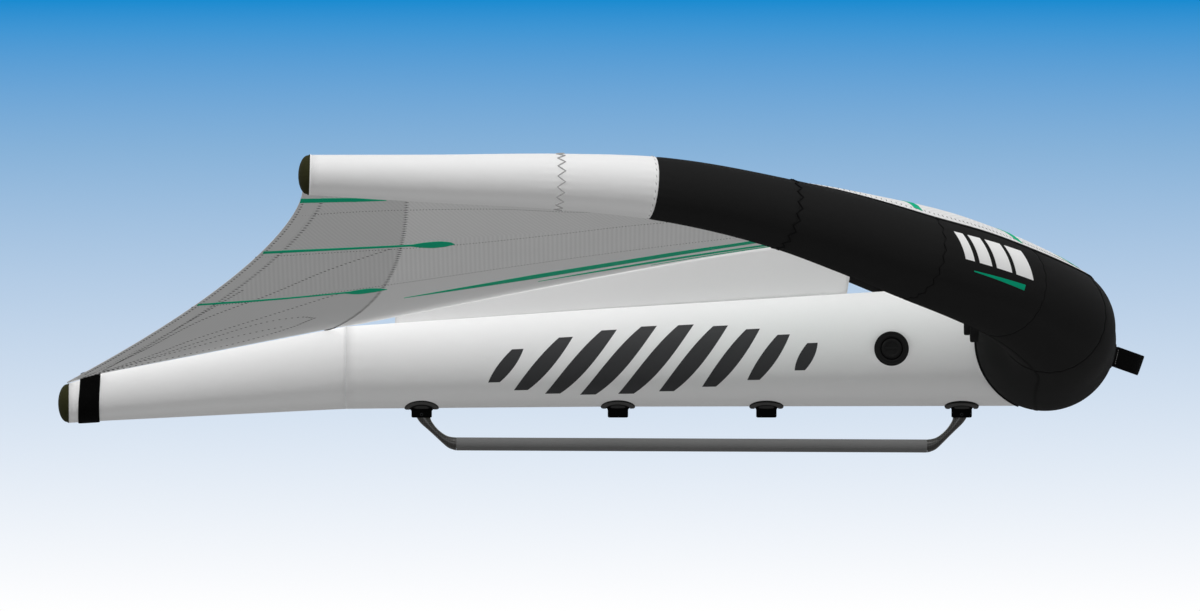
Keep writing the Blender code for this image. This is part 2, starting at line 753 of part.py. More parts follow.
def mount(label, x, strut_outside, bolted):
    """A saddle pad on the strut's underside and the socket block below it."""
    z, radius = strut_at(x)
    reach = PAD_LENGTH
    low, top = z - 2 * radius, z - radius / 2
    pad = finish(f"mount_pad_{label}", strut_form(-GAP - PAD_THICK, x - reach, x + reach), BLACK_RUBBER)
    outline = ellipse_column(f"pad_outline_{label}", x, PAD_LENGTH, PAD_SPREAD, low, top)
    boolean(pad, outline, "INTERSECT")
    boss = finish(f"boss_{label}", strut_form(-GAP - BOSS_THICK, x - reach, x + reach), BLACK_RUBBER, cutters)
    outline = ellipse_column(f"boss_outline_{label}", x, BOSS_LENGTH, BOSS_SPREAD, low, top)
    boolean(as_cutter(boss), outline, "INTERSECT")
    boolean(pad, boss, "UNION")
    boolean(pad, strut_outside)
    block = block_form(f"mount_block_{label}", x, top)
    seat = strut_form(-GAP * 2 - BOSS_THICK, x - reach, x + reach)
    boolean(block, as_cutter(finish(f"seat_{label}", seat, BLACK_PLASTIC, cutters)))
    boolean(block, cylinder(f"socket_{label}", SOCKET_R, (x, 0.0, BLOCK_BOTTOM_Z - OVERRUN),
                            (x, 0.0, BLOCK_BOTTOM_Z + SOCKET_DEPTH)))
    if bolted:
        bolt_z = BLOCK_BOTTOM_Z + BOLT_LIFT
        half = BLOCK_WIDTH / 2
        hole = cylinder(f"bolt_hole_{label}", BOLT_R + GAP, (x, -half - OVERRUN, bolt_z),
                        (x, half + OVERRUN, bolt_z))
        boolean(block, hole)
        sink = cylinder(f"bolt_sink_{label}", BOLT_HEAD_R + GAP, (x, -half - OVERRUN, bolt_z),
                        (x, -half + BOLT_HEAD + GAP, bolt_z))
        boolean(block, sink)
        profile = [(0.0, BOLT_HEAD), (BOLT_HEAD_R, BOLT_HEAD), (BOLT_HEAD_R, 0.0), (BOLT_R, 0.0),
                   (BOLT_R, BOLT_HEAD - 2 * half), (0.0, BOLT_HEAD - 2 * half)]
        place = Matrix.Translation((x, -half + BOLT_HEAD, bolt_z)) @ Matrix.Rotation(math.pi / 2, 4, "X")
        turned(f"boom_bolt_{label}", profile, STEEL, place)
        return hole
    return None


def block_form(name, x, top):
    """A block that flares towards its top, with its edges rounded."""
    form = bmesh.new()
    bmesh.ops.create_cube(form, size=1.0)
    height = top - BLOCK_BOTTOM_Z
    form.transform(Matrix.Translation((x, 0.0, BLOCK_BOTTOM_Z + height / 2))
                   @ Matrix.Diagonal((BLOCK_LENGTH, BLOCK_WIDTH, height, 1.0)))
    for corner in form.verts:
        if corner.co.z > BLOCK_BOTTOM_Z + height / 2:
            corner.co.x += math.copysign(BLOCK_FLARE, corner.co.x - x)
            corner.co.y += math.copysign(BLOCK_FLARE, corner.co.y)
    mesh = bpy.data.meshes.new(name)
    form.to_mesh(mesh)
    form.free()
    made = finish(name, mesh, BLACK_PLASTIC)
    rounding = made.modifiers.new("rounding", "BEVEL")
    rounding.width = BLOCK_ROUND
    rounding.segments = 2
    return made


def grip_height(x):
    """The boom's axis drops a little from rear to front."""
    return -GRIP_TILT * 2 * x / GRIP_LENGTH


def tube_between(name, outer, inner, start, end, look):
    """A straight open tube between two points."""
    start, end = Vector(start), Vector(end)
    length = (end - start).length
    place = Matrix.Translation(start) @ (end - start).to_track_quat("Z", "Y").to_matrix().to_4x4()
    return turned(name, [(outer, length), (outer, 0.0), (inner, 0.0), (inner, length)], look, place)


# The boom arm's centre line, from the block to the grip, as shares of its run and of its drop,
# with the share of the way from neck radius to head or grip radius at each
ARM_shares = ((0.07, 0.00, 0.80), (0.22, 0.26, 0.15), (0.42, 0.55, 0.00), (0.64, 0.80, 0.25),
              (0.83, 0.94, 0.75), (1.00, 1.00, 1.00))


def boom_arm(label, x, bolt_hole):
    """A curved arm: a spigot in the block's socket, a flattened neck, and a spigot in the boom tube."""
    toward = 1 if x < 0 else -1
    end_x = -toward * GRIP_LENGTH / 2
    end_z = grip_height(end_x)
    top_z = BLOCK_BOTTOM_Z - GAP
    run = abs(end_x - x)
    drop_height = top_z - end_z
    turns = np.linspace(0, 2 * math.pi, ARM_SIDES, endpoint=False)
    centres, thick = [], []
    for run_share, drop_share, size_share in ARM_shares:
        centres.append((x + toward * run_share * run, top_z - drop_share * drop_height))
        thick.append(ARM_NECK_R + size_share * (GRIP_R - ARM_NECK_R))
    centres = np.array(centres)
    runs = unit(np.gradient(centres, axis=0))
    runs[0] = (0.0, -1.0)
    runs[-1] = unit(np.array([toward, (grip_height(1.0) - grip_height(0.0)) * toward]))
    sections = []
    spigot_r = SOCKET_R - GAP
    for z in (BLOCK_BOTTOM_Z + SOCKET_DEPTH - GAP, top_z):
        sections.append([(x + spigot_r * math.cos(a), spigot_r * math.sin(a), z) for a in turns])
    for i, ((cx, cz), half, (dx, dz)) in enumerate(zip(centres, thick, runs)):
        wide = ARM_HALF_WIDTH + (GRIP_R - ARM_HALF_WIDTH) * (i / (len(thick) - 1))
        nx, nz = -dz, dx
        sections.append([(cx + half * nx * math.cos(a), wide * math.sin(a), cz + half * nz * math.cos(a))
                         for a in turns])
    inner_r = BOOM_R - BOOM_WALL - GAP
    dx, dz = runs[-1]
    for distance in (0.0, SPIGOT):
        cx, cz = centres[-1] + np.array([dx, dz]) * distance
        sections.append([(cx - inner_r * dz * math.cos(a), inner_r * math.sin(a),
                          cz + inner_r * dx * math.cos(a)) for a in turns])
    arm = finish(f"boom_arm_{label}", loft_mesh(f"boom_arm_{label}", sections), CARBON)
    boolean(arm, bolt_hole)
    return arm


def boom(rear_hole, front_hole):
    """Two arms, the tube between them and the foam grip on the tube."""
    boom_arm("rear", mount_rear_x, rear_hole)
    boom_arm("front", mount_front_x, front_hole)
    half = GRIP_LENGTH / 2 - GAP
    start, end = (-half, 0.0, grip_height(-half)), (half, 0.0, grip_height(half))
    tube_between("boom_tube", BOOM_R, BOOM_R - BOOM_WALL, start, end, CARBON)
    tube_between("boom_grip", GRIP_R, BOOM_R + GAP, start, end, GREY_FOAM)


def valve(label, place, sleeve_piece, bladder, bladder_skin):
    """An inflation valve whose axis is the local +Z, with the sleeve's surface at height zero."""
    deep = -VALVE_R
    top = VALVE_RISE
    floor_z = top - INSERT_DEPTH - GAP
    collar_profile = [
        (VALVE_R - VALVE_EDGE, top), (VALVE_R, top - VALVE_EDGE), (VALVE_R, deep),
        (THROAT_R, deep), (THROAT_R, floor_z), (INSERT_R + GAP, floor_z), (INSERT_R + GAP, top)]
    collar = turned(f"{label}_valve_collar", collar_profile, BLACK_RUBBER, place)
    boolean(collar, bladder_skin)
    lip = top - INSERT_DEPTH
    insert_profile = [
        (INSERT_R, top - GAP), (INSERT_R, lip), (SEAT_R, lip), (SEAT_R, lip + INSERT_LIP),
        (INSERT_BORE_R, lip + INSERT_LIP), (INSERT_BORE_R, top - GAP)]
    turned(f"{label}_valve_insert", insert_profile, BLACK_PLASTIC, place)
    disc_top = lip - GAP
    poppet_profile = [
        (0.0, disc_top + STEM_REACH), (STEM_R, disc_top + STEM_REACH), (STEM_R, disc_top),
        (POPPET_R, disc_top), (POPPET_R, disc_top - POPPET_THICK), (0.0, disc_top - POPPET_THICK)]
    turned(f"{label}_valve_poppet", poppet_profile, BLACK_PLASTIC, place)
    face = top + CAP_RISE
    plug_r = INSERT_BORE_R - GAP
    cap_profile = [
        (0.0, face - CAP_DISH), (CAP_DISH_R - VALVE_EDGE, face - CAP_DISH), (CAP_DISH_R, face),
        (CAP_R - VALVE_EDGE, face), (CAP_R, face - VALVE_EDGE), (CAP_R, top + GAP), (plug_r, top + GAP),
        (plug_r, top - PLUG_DEPTH), (plug_r - CAP_SKIN, top - PLUG_DEPTH),
        (plug_r - CAP_SKIN, face - CAP_DISH - CAP_SKIN), (0.0, face - CAP_DISH - CAP_SKIN)]
    cap = turned(f"{label}_valve_cap", cap_profile, BLACK_RUBBER, place)
    bar = bpy.data.meshes.new(f"{label}_cap_bar")
    form = bmesh.new()
    bmesh.ops.create_cube(form, size=1.0)
    form.transform(place @ Matrix.Translation((0.0, 0.0, face - CAP_DISH))
                   @ Matrix.Diagonal((2 * CAP_DISH_R, CAP_BAR, CAP_SKIN, 1.0)))
    form.to_mesh(bar)
    form.free()
    boolean(cap, as_cutter(finish(f"{label}_cap_bar", bar, BLACK_RUBBER, cutters)), "UNION")
    axis = place.to_3x3() @ Vector((0.0, 0.0, 1.0))
    start, end = place.translation - axis * VALVE_R, place.translation + axis * VALVE_R
    boolean(sleeve_piece, cylinder(f"{label}_sleeve_hole", VALVE_R + GAP, start, end))
    boolean(bladder, cylinder(f"{label}_port", THROAT_R, start, end))


def nose_handle(le_outside):
    """A webbing loop across the nose, sewn at both ends to a patch that follows the tube."""
    foot = HANDLE_HALF - HANDLE_FOOT
    x, z, radius = le_axis_at(foot)
    seat = radius + PATCH_THICK + 2 * GAP + WEBBING / 2
    base = Vector((x + seat * math.cos(HANDLE_PLACE), 0.0, z - seat * math.sin(HANDLE_PLACE)))
    half_path = [(0.0, HANDLE_HALF), *((reach, foot * share) for reach, share in HANDLE_LOOP_shares)]
    path = half_path + [(reach, -across) for reach, across in half_path[-2::-1]]
    out = Vector((math.cos(HANDLE_TILT), 0.0, -math.sin(HANDLE_TILT)))
    rows = []
    for reach, across in path:
        turn = HANDLE_PLACE + (HANDLE_TILT - HANDLE_PLACE) * reach
        wide = Vector((math.sin(turn), 0.0, math.cos(turn))) * HANDLE_WIDTH / 2
        middle = out * HANDLE_REACH * reach + Vector((0.0, across, 0.0))
        rows.append([middle - wide, middle + wide])
    mesh = grid_mesh("nose_handle", np.array(rows))
    handle = solidify(finish("nose_handle", mesh, BLACK_WEBBING), WEBBING, 0.0)
    handle.location = base
    patch = finish("nose_patch", le_form(-GAP - PATCH_THICK, True), BLACK_SAILCLOTH)
    form = bmesh.new()
    bmesh.ops.create_cube(form, size=1.0)
    form.transform(Matrix.Translation(base) @ Matrix.Rotation(HANDLE_PLACE, 4, "Y")
                   @ Matrix.Diagonal((NOSE_R, 2 * (HANDLE_HALF + PATCH_MARGIN),
                                      HANDLE_WIDTH + 2 * PATCH_MARGIN, 1.0)))
    outline = bpy.data.meshes.new("patch_outline")
    form.to_mesh(outline)
    form.free()
    boolean(patch, as_cutter(finish("patch_outline", outline, BLACK_SAILCLOTH, cutters)), "INTERSECT")
    boolean(patch, le_outside)


def build():
    """Put the wing together."""
    le_outside = le_cutter("le_outside", -GAP)
    le_skin = le_cutter("le_skin", -GAP - FILM)
    le_bladder_skin = le_cutter("le_bladder_skin", SLEEVE_WALL, BLADDER_BEVEL)
    nose, le_bladder = leading_edge()
    strut_front, strut_bladder = strut(le_outside, le_skin)
    front_end = strut_rings[-1, 0]
    outside = strut_form(-GAP, TAIL_X, front_end)
    strut_outside = as_cutter(finish("strut_outside", outside, WHITE_SAILCLOTH, cutters))
    skin = strut_form(SLEEVE_WALL, TAIL_X, front_end, bevel=BLADDER_BEVEL)
    strut_bladder_skin = as_cutter(finish("strut_bladder_skin", skin, BLADDER_FILM, cutters))
    tail_band()
    canopy()
    strut_web()
    rear = mount("rear", mount_rear_x, strut_outside, True)
    mount("mid_rear", MOUNT_MID_REAR_X, strut_outside, False)
    mount("mid_front", MOUNT_MID_FRONT_X, strut_outside, False)
    front = mount("front", mount_front_x, strut_outside, True)
    boom(rear, front)
    z, radius = strut_at(STRUT_VALVE_X)
    to_side = Matrix.Translation((STRUT_VALVE_X, -radius, z)) @ Matrix.Rotation(math.pi / 2, 4, "X")
    valve("strut", to_side, strut_front, strut_bladder, strut_bladder_skin)
    x, z, radius = le_axis_at(LE_VALVE_Y)
    skin_x = x - math.sqrt(radius**2 - (LE_VALVE_Z - z) ** 2)
    to_rear = Matrix.Translation((skin_x, LE_VALVE_Y, LE_VALVE_Z)) @ Matrix.Rotation(-math.pi / 2, 4, "Y")
    valve("le", to_rear, nose, le_bladder, le_bladder_skin)
    nose_handle(le_outside)


build()
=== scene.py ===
# %% [markdown]
# # An inflatable wingfoil wing
# A rider holds this wing by its boom, and the wind fills the cloth between a C-shaped air tube and a
# straight strut. The solids come packed as a fixed frame. This script dresses them: it lays fine
# surfaces where the coarse ones are, and gives each its own cloth, rubber, foam or carbon.
# Everything is in metres, but for some tables in millimetres: X forward to the nose, Y to port, Z up.

import math
from functools import partialmethod

import bmesh
import bpy
import numpy as np
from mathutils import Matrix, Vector


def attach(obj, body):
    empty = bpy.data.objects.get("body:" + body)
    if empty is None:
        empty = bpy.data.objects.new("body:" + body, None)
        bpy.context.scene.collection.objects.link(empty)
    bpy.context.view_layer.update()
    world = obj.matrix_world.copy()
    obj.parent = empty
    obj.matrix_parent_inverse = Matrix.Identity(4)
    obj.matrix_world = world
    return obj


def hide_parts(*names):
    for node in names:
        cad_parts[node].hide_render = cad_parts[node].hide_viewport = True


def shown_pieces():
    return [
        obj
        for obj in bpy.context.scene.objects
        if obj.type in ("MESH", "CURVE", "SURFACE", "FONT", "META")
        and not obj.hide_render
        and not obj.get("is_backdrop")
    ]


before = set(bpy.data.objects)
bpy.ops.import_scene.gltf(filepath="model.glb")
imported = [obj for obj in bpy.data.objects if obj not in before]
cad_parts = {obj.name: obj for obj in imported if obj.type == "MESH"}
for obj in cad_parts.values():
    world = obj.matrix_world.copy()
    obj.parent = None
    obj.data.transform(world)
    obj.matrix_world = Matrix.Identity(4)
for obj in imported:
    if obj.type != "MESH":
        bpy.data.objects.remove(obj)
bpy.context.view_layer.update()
scene = bpy.context.scene
scene.view_settings.view_transform = "Standard"

# %% [markdown]
# The wing is seen flat from its side, so the camera stands far off with a very long lens. That is
# nearly a parallel view, and unlike an orthographic camera it still fits the other views by moving.

# %% The camera
PIXEL = 0.00195
FRAME_WIDE, FRAME_HIGH = 1200, 611
LENS, SENSOR = 800.0, 36.0
CAMERA_X, TRUE_SIZE_Y, CAMERA_Z = -0.1794, -0.20, 0.273
camera_data = bpy.data.cameras.new("camera")
camera_data.lens = LENS
camera_data.sensor_width = SENSOR
camera_data.clip_end = 400.0
camera = bpy.data.objects.new("camera", camera_data)
scene.collection.objects.link(camera)
camera.location = (CAMERA_X, TRUE_SIZE_Y - FRAME_WIDE * PIXEL * LENS / SENSOR, CAMERA_Z)
camera.rotation_euler = (math.pi / 2, 0.0, 0.0)
scene.camera = camera
print("camera distance", round(-camera.location.y, 2))

# %% [markdown]
# A few short names for what comes back all the time: the two sides, angles once round, crossed
# rows and columns, tables in millimetres, and the lengths and directions of lines.

# %% Short names
SIDES = ((1, "port"), (-1, "starboard"))
FULL_TURN = 2 * math.pi


def circle(count):
    """Angles once round, from nought."""
    return np.linspace(0, FULL_TURN, count, endpoint=False)


def crossed(rows, columns):
    """Two grids: the first changes from row to row, the second from column to column."""
    return np.meshgrid(rows, columns, indexing="ij")


def crossed_uv(rows, columns):
    return np.stack(crossed(rows, columns), axis=-1)


def mm(*values):
    """A table in millimetres, as metres."""
    return np.array(values, float) / 1000


def both_ways(*values):
    """Millimetres to both sides of nought, as metres."""
    return mm(*(-v for v in values[::-1]), 0, *values)


def unit(vectors):
    return vectors / np.linalg.norm(vectors, axis=-1, keepdims=True)


def lengths_along(points):
    """The distance along a line of points, from nought."""
    return np.concatenate([[0.0], np.cumsum(np.linalg.norm(np.diff(points, axis=0), axis=1))])


def heading(points, ring=False):
    """The direction of a line at each of its points; ring joins its ends."""
    if ring:
        return unit(np.roll(points, -1, axis=0) - np.roll(points, 1, axis=0))
    return unit(np.gradient(points, axis=0))


def blend(values, at, keys):
    """Each column of values, read between its keys."""
    return np.stack([np.interp(at, keys, column) for column in values.T], axis=-1)


# %% [markdown]
# Shader maths is easier to read as an expression than as a web of nodes. A Term wraps one output of
# a node, and Python's operators on it add Math nodes. A Look is a material that is being built.


# %% Terms and looks
def add_node(tree, kind, settings, values):
    """Adds a node: first its settings, then the values or links of its sockets."""
    made = tree.nodes.new(kind)
    for setting, value in settings.items():
        setattr(made, setting, value)
    for key, value in values.items() if isinstance(values, dict) else enumerate(values):
        if isinstance(value, Term):
            value = value.socket
        if isinstance(value, bpy.types.NodeSocket):
            tree.links.new(value, made.inputs[key])
        else:
            made.inputs[key].default_value = value
    return made


class Term:
    """One output of a node, on which Python's operators work."""

    def __init__(self, look, socket):
        self.look = look
        self.socket = socket

    def math(self, operation, *others):
        return self.look.term("ShaderNodeMath", {"operation": operation}, (self, *others))

    __add__ = partialmethod(math, "ADD")
    __sub__ = partialmethod(math, "SUBTRACT")
    __mul__ = partialmethod(math, "MULTIPLY")
    __truediv__ = partialmethod(math, "DIVIDE")
    above = partialmethod(math, "GREATER_THAN")
    sin = partialmethod(math, "SINE")
    abs = partialmethod(math, "ABSOLUTE")
    fract = partialmethod(math, "FRACT")
    floor = partialmethod(math, "FLOOR")

    def __rsub__(self, other):
        return self.look.term("ShaderNodeMath", {"operation": "SUBTRACT"}, (other, self))

    def rise(self, start, end):
        """0 below start, 1 above end, and smooth between."""
        settings = {"interpolation_type": "SMOOTHSTEP"}
        return self.look.term("ShaderNodeMapRange", settings, (self, start, end))


class Look:
    """A material whose Principled shader is set up step by step."""

    def __init__(self, name, roughness, specular, metallic=0.0, coat=0.0):
        self.material = bpy.data.materials.new(name)
        self.material.use_nodes = True
        self.tree = self.material.node_tree
        self.shader = self.tree.nodes["Principled BSDF"]
        fixed = {"Roughness": roughness, "Specular IOR Level": specular, "Metallic": metallic,
                 "Coat Weight": coat}
        for socket, value in fixed.items():
            self.shader.inputs[socket].default_value = value

    def term(self, kind, settings, values, output=0):
        return Term(self, add_node(self.tree, kind, settings, values).outputs[output])

    def split(self, vector):
        parts = add_node(self.tree, "ShaderNodeSeparateXYZ", {}, (vector,))
        return [Term(self, parts.outputs[i]) for i in range(3)]

    def cloth(self):
        """Metres along and across the cloth, from the piece's own UV map."""
        return self.split(self.term("ShaderNodeUVMap", {"uv_map": "cloth"}, ()))[:2]

    def place(self):
        """Metres in the wing's own axes."""
        return self.term("ShaderNodeTexCoord", {}, (), "Object")

    def stored(self, name):
        return self.term("ShaderNodeAttribute", {"attribute_name": name}, (), "Fac")

    def noise(self, vector, scale, detail=2.0, stretch=(1.0, 1.0, 1.0)):
        scaled = self.term("ShaderNodeMapping", {}, {"Vector": vector, "Scale": stretch})
        return self.term("ShaderNodeTexNoise", {}, {"Vector": scaled, "Scale": scale, "Detail": detail})

    def feed(self, socket, value):
        self.tree.links.new(value.socket, self.shader.inputs[socket])

    def paint(self, colour, tone):
        """The base colour, times a tone."""
        values = {0: colour, "Scale": tone}
        self.feed("Base Color", self.term("ShaderNodeVectorMath", {"operation": "SCALE"}, values))

    def paint_between(self, share, first, second):
        """The base colour, from the first at share 0 to the second at share 1."""
        values = {0: share, 6: (*first, 1.0), 7: (*second, 1.0)}
        self.feed("Base Color", self.term("ShaderNodeMix", {"data_type": "RGBA"}, values, 2))

    def bump(self, height, distance, strength):
        """Shades the surface as if it stood proud by height times distance, and ends the look."""
        values = {"Height": height, "Distance": distance, "Strength": strength}
        self.feed("Normal", self.term("ShaderNodeBump", {}, values))
        return self.material


def shade(colour, factor):
    return tuple(channel * factor for channel in colour)


def grey(value):
    return (value, value, value)


# %% [markdown]
# Sailcloth is a plain weave of polyester. From near one sees the threads, from further off a slight
# unevenness in tone and a few soft wrinkles. The weave follows the cloth's own UV map, in metres, so
# that it keeps its size on every piece. The rest follows the place on the wing.

# %% Woven cloths
THREAD_PITCH, THREAD_HEIGHT, WRINKLE_HEIGHT = 0.0016, 0.00012, 0.002


def woven(name, colour, roughness, specular, uneven, wrinkle=0.5):
    """Plain weave: sin(2 pi u / pitch) times sin(2 pi v / pitch), with unevenness and wrinkles."""
    look = Look(name, roughness, specular)
    u, v = look.cloth()
    weave = (u * (FULL_TURN / THREAD_PITCH)).sin() * (v * (FULL_TURN / THREAD_PITCH)).sin()
    place = look.place()
    cloud = look.noise(place, 5.0, 3.0)
    crease = look.noise(place, 2.2, 4.0, (1.0, 2.5, 2.0))
    look.paint(colour, cloud * (2 * uneven) + (1.0 - uneven) + weave * 0.03)
    look.feed("Roughness", cloud * 0.12 + (roughness - 0.06))
    return look.bump(weave * THREAD_HEIGHT + crease * WRINKLE_HEIGHT * wrinkle, 1.0, 0.6)


BLACK = grey(0.0140)
TEAL = (0.002, 0.37, 0.20)
PALE = grey(0.70)
black_cloth = woven("black_sailcloth", BLACK, 0.92, 0.03, 0.06)
white_cloth = woven("white_sailcloth", grey(0.79), 0.75, 0.12, 0.012)
web_look = woven("web_cloth", PALE, 0.75, 0.08, 0.012, 0.3)
tape_black = woven("black_seam_tape", shade(BLACK, 0.45), 0.90, 0.04, 0.08, 0.0)
tape_white = woven("white_seam_tape", grey(0.76), 0.75, 0.12, 0.03, 0.0)
teal_print = woven("teal_insignia_cloth", TEAL, 0.80, 0.04, 0.04, 0.1)
grey_print = woven("grey_insignia_cloth", (0.040, 0.040, 0.042), 0.60, 0.15, 0.06, 0.1)
white_print = woven("white_insignia_cloth", (0.86, 0.86, 0.855), 0.65, 0.15, 0.02, 0.1)
hem_look = woven("hem_cloth", grey(0.60), 0.72, 0.12, 0.03, 0.2)
print("cloths", len(bpy.data.materials))

# %% [markdown]
# Webbing is woven in a herringbone of thick yarns, with a rolled edge. Thread is a twisted cord, too
# thin for more than a change of tone along it.

# %% Webbing and thread
RIB_WIDTH, YARN_PITCH, TWIST_PITCH = 0.0065, 0.0022, 0.0014


def webbing(name, colour):
    """Herringbone: stripes along u that step sideways with the distance of v from each rib's middle."""
    look = Look(name, 0.92, 0.04)
    u, v = look.cloth()
    rib = ((v / RIB_WIDTH).fract() - 0.5).abs()
    stripe = ((u / YARN_PITCH + rib * 3.0) * FULL_TURN).sin()
    look.paint(colour, stripe * 0.12 + look.noise(look.place(), 60.0) * 0.3 + 0.8)
    return look.bump(stripe * 0.0002 + rib * 0.0005, 1.0, 0.7)


def thread_look(name, value):
    """Twisted cord: stripes at a slant to the piece."""
    look = Look(name, 0.85, 0.06)
    x, y, z = look.split(look.place())
    twist = ((x + y + z) * (FULL_TURN / TWIST_PITCH)).sin()
    look.paint_between(twist * 0.5 + 0.5, grey(value * 0.8), grey(value))
    return look.bump(twist, 0.0001, 0.4)


webbing_look = webbing("black_webbing", grey(0.0022))
black_thread = thread_look("black_thread", 0.003)
grey_thread = thread_look("grey_thread", 0.40)
dark_thread = thread_look("canopy_thread", 0.090)
seam_thread = thread_look("panel_seam_thread", 0.075)
white_thread = thread_look("white_thread", 0.75)
web_thread = thread_look("web_thread", 0.80)

# %% [markdown]
# The hard and rubbery parts are moulded, with a fine grain and a little variation in tone and gloss.
# The foam grip has open cells. The boom's arms are carbon under clear lacquer, whose twill shows as a
# slanted checker.


# %% Moulded, foamed and laminated materials
def moulded(name, colour, roughness, specular, grain=0.0016, depth=0.0008):
    """Fine grain from a small noise, and a broad noise that varies the tone and the gloss."""
    look = Look(name, roughness, specular)
    place = look.place()
    fine = look.noise(place, 1.0 / grain)
    broad = look.noise(place, 30.0, 3.0)
    look.paint_between(broad, shade(colour, 0.85), shade(colour, 1.2))
    look.feed("Roughness", broad * 0.2 + (roughness - 0.1))
    return look.bump(fine, depth, 0.5)


def foam(name, colour):
    """Cells: the distance to scattered points, small and shallow, with a scuffed tone."""
    look = Look(name, 0.90, 0.08)
    place = look.place()
    pores = look.term("ShaderNodeTexVoronoi", {}, {"Vector": place, "Scale": 700.0}, "Distance")
    scuff = look.noise(place, 14.0, 5.0, (0.6, 2.0, 2.0))
    look.paint(colour, scuff * 0.16 + 0.92 - pores * 0.12)
    return look.bump(pores, 0.0006, 0.5)


def carbon(name, tow_width=0.0035, fibre_pitch=0.0009):
    """Twill: two families of tows cross at right angles, and one is paler and less glossy."""
    look = Look(name, 0.40, 0.3, coat=0.7)
    x, _, z = look.split(look.place())
    step = ((x + z) / tow_width).floor() + ((x - z) / tow_width).floor()
    tow = (step * 0.5).fract().above(0.25)
    fibres = ((x + z) * (FULL_TURN / fibre_pitch)).sin()
    look.paint_between(tow, (0.0070, 0.0066, 0.0060), (0.036, 0.033, 0.029))
    look.feed("Roughness", tow * 0.14 + 0.34)
    look.shader.inputs["Coat Roughness"].default_value = 0.08
    return look.bump(fibres + tow * 0.5, 0.00006, 0.4)


def brushed(name, colour):
    """Fine scratches: a noise stretched along one axis."""
    look = Look(name, 0.35, 0.5, metallic=1.0)
    scratch = look.noise(look.place(), 900.0, 3.0, (0.05, 1.0, 1.0))
    look.paint_between(scratch, shade(colour, 0.7), colour)
    look.feed("Roughness", scratch * 0.25 + 0.22)
    return look.bump(scratch, 0.00003, 0.5)


rubber_look = moulded("black_rubber", grey(0.0120), 0.80, 0.05)
plastic_look = moulded("black_plastic", grey(0.0010), 0.80, 0.03)
olive_look = moulded("olive_cap", (0.027, 0.027, 0.0110), 0.80, 0.04, 0.003, 0.002)
foam_look = foam("grey_foam", grey(0.155))
carbon_look = carbon("carbon")
steel_look = brushed("steel", (0.030, 0.030, 0.032))
film_look = moulded("bladder_film", (0.55, 0.60, 0.62), 0.35, 0.45, 0.05, 0.004)
print("materials", len(bpy.data.materials))

# %% [markdown]
# Every new piece is a grid of points worked out as one array. The first helper turns a grid into a
# mesh with a UV map in metres. The second makes the mesh an object that rides on a body of the frame.


# %% From grids to pieces
def cells(table):
    """The four corners of every cell of a grid, in turn."""
    corners = [table[:-1, :-1], table[:-1, 1:], table[1:, 1:], table[1:, :-1]]
    return np.stack(corners, axis=2).reshape(-1, 4, *table.shape[2:])


def mesh_of(name, points, faces, uv=None):
    """A mesh from an array of points and an array of faces that all have the same count of corners."""
    mesh = bpy.data.meshes.new(name)
    mesh.vertices.add(len(points))
    mesh.vertices.foreach_set("co", np.ascontiguousarray(points, np.float32).ravel())
    mesh.loops.add(faces.size)
    mesh.loops.foreach_set("vertex_index", faces.astype(np.int32).ravel())
    mesh.polygons.add(len(faces))
    mesh.polygons.foreach_set("loop_start", np.arange(0, faces.size, faces.shape[1], dtype=np.int32))
    if uv is not None:
        mesh.uv_layers.new(name="cloth").data.foreach_set("uv", uv.astype(np.float32).ravel())
    mesh.update(calc_edges=True)
    return mesh


def wrapped_mesh(name, points, uv=None, wrap=True):
    """A mesh from a grid of points; wrap joins the last column to the first."""
    rows, columns = points.shape[:2]
    corner = np.arange(rows * columns).reshape(rows, columns)
    if wrap:
        corner = np.hstack([corner, corner[:, :1]])
    return mesh_of(name, points.reshape(-1, 3), cells(corner), None if uv is None else cells(uv))


def weld(mesh, outward=True):
    """Closes seams and poles, and on a closed shell turns every face outwards."""
    form = bmesh.new()
    form.from_mesh(mesh)
    bmesh.ops.remove_doubles(form, verts=form.verts, dist=1e-6)
    if outward:
        bmesh.ops.recalc_face_normals(form, faces=form.faces)
    form.to_mesh(mesh)
    form.free()


def piece(name, mesh, look, body="wing", replaces=(), slot=None, sharp=40.0):
    """An object for a finished mesh: smooth, in its material, and riding on its body."""
    made = bpy.data.objects.new(name, mesh)
    scene.collection.objects.link(made)
    mesh.materials.append(look)
    mesh.shade_smooth()
    if sharp:
        mesh.set_sharp_from_angle(angle=math.radians(sharp))
    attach(made, body)
    if replaces:
        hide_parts(*replaces)
    return made


def surface(name, points, look, uv=None, wrap=False, **rest):
    """An open piece from a grid of points."""
    return piece(name, wrapped_mesh(name, points, uv, wrap), look, **rest)


def shell(name, points, look, uv=None, **rest):
    """A closed piece from a grid of points that wraps round."""
    mesh = wrapped_mesh(name, points, uv)
    weld(mesh)
    return piece(name, mesh, look, **rest)


def with_poles(points):
    """A wrapped grid with one more row at each end, all in the middle of that end."""
    first, last = (np.broadcast_to(end.mean(axis=1, keepdims=True), end.shape)
                   for end in (points[:1], points[-1:]))
    return np.vstack([first, points, last])


def solid(made, thickness, offset=0.0):
    """Gives an open surface a wall: about its middle, or on its inside at offset -1."""
    wall = made.modifiers.new("wall", "SOLIDIFY")
    wall.thickness = thickness
    wall.offset = offset


# %% [markdown]
# The leading edge is one long tapering tube. Its axis runs through twelve stations from the nose to
# the tip, and a cubic curve joins them. At each point an upright direction and a sideways one span
# the ring, so that a place on the skin is a distance along the tube and an angle round it.

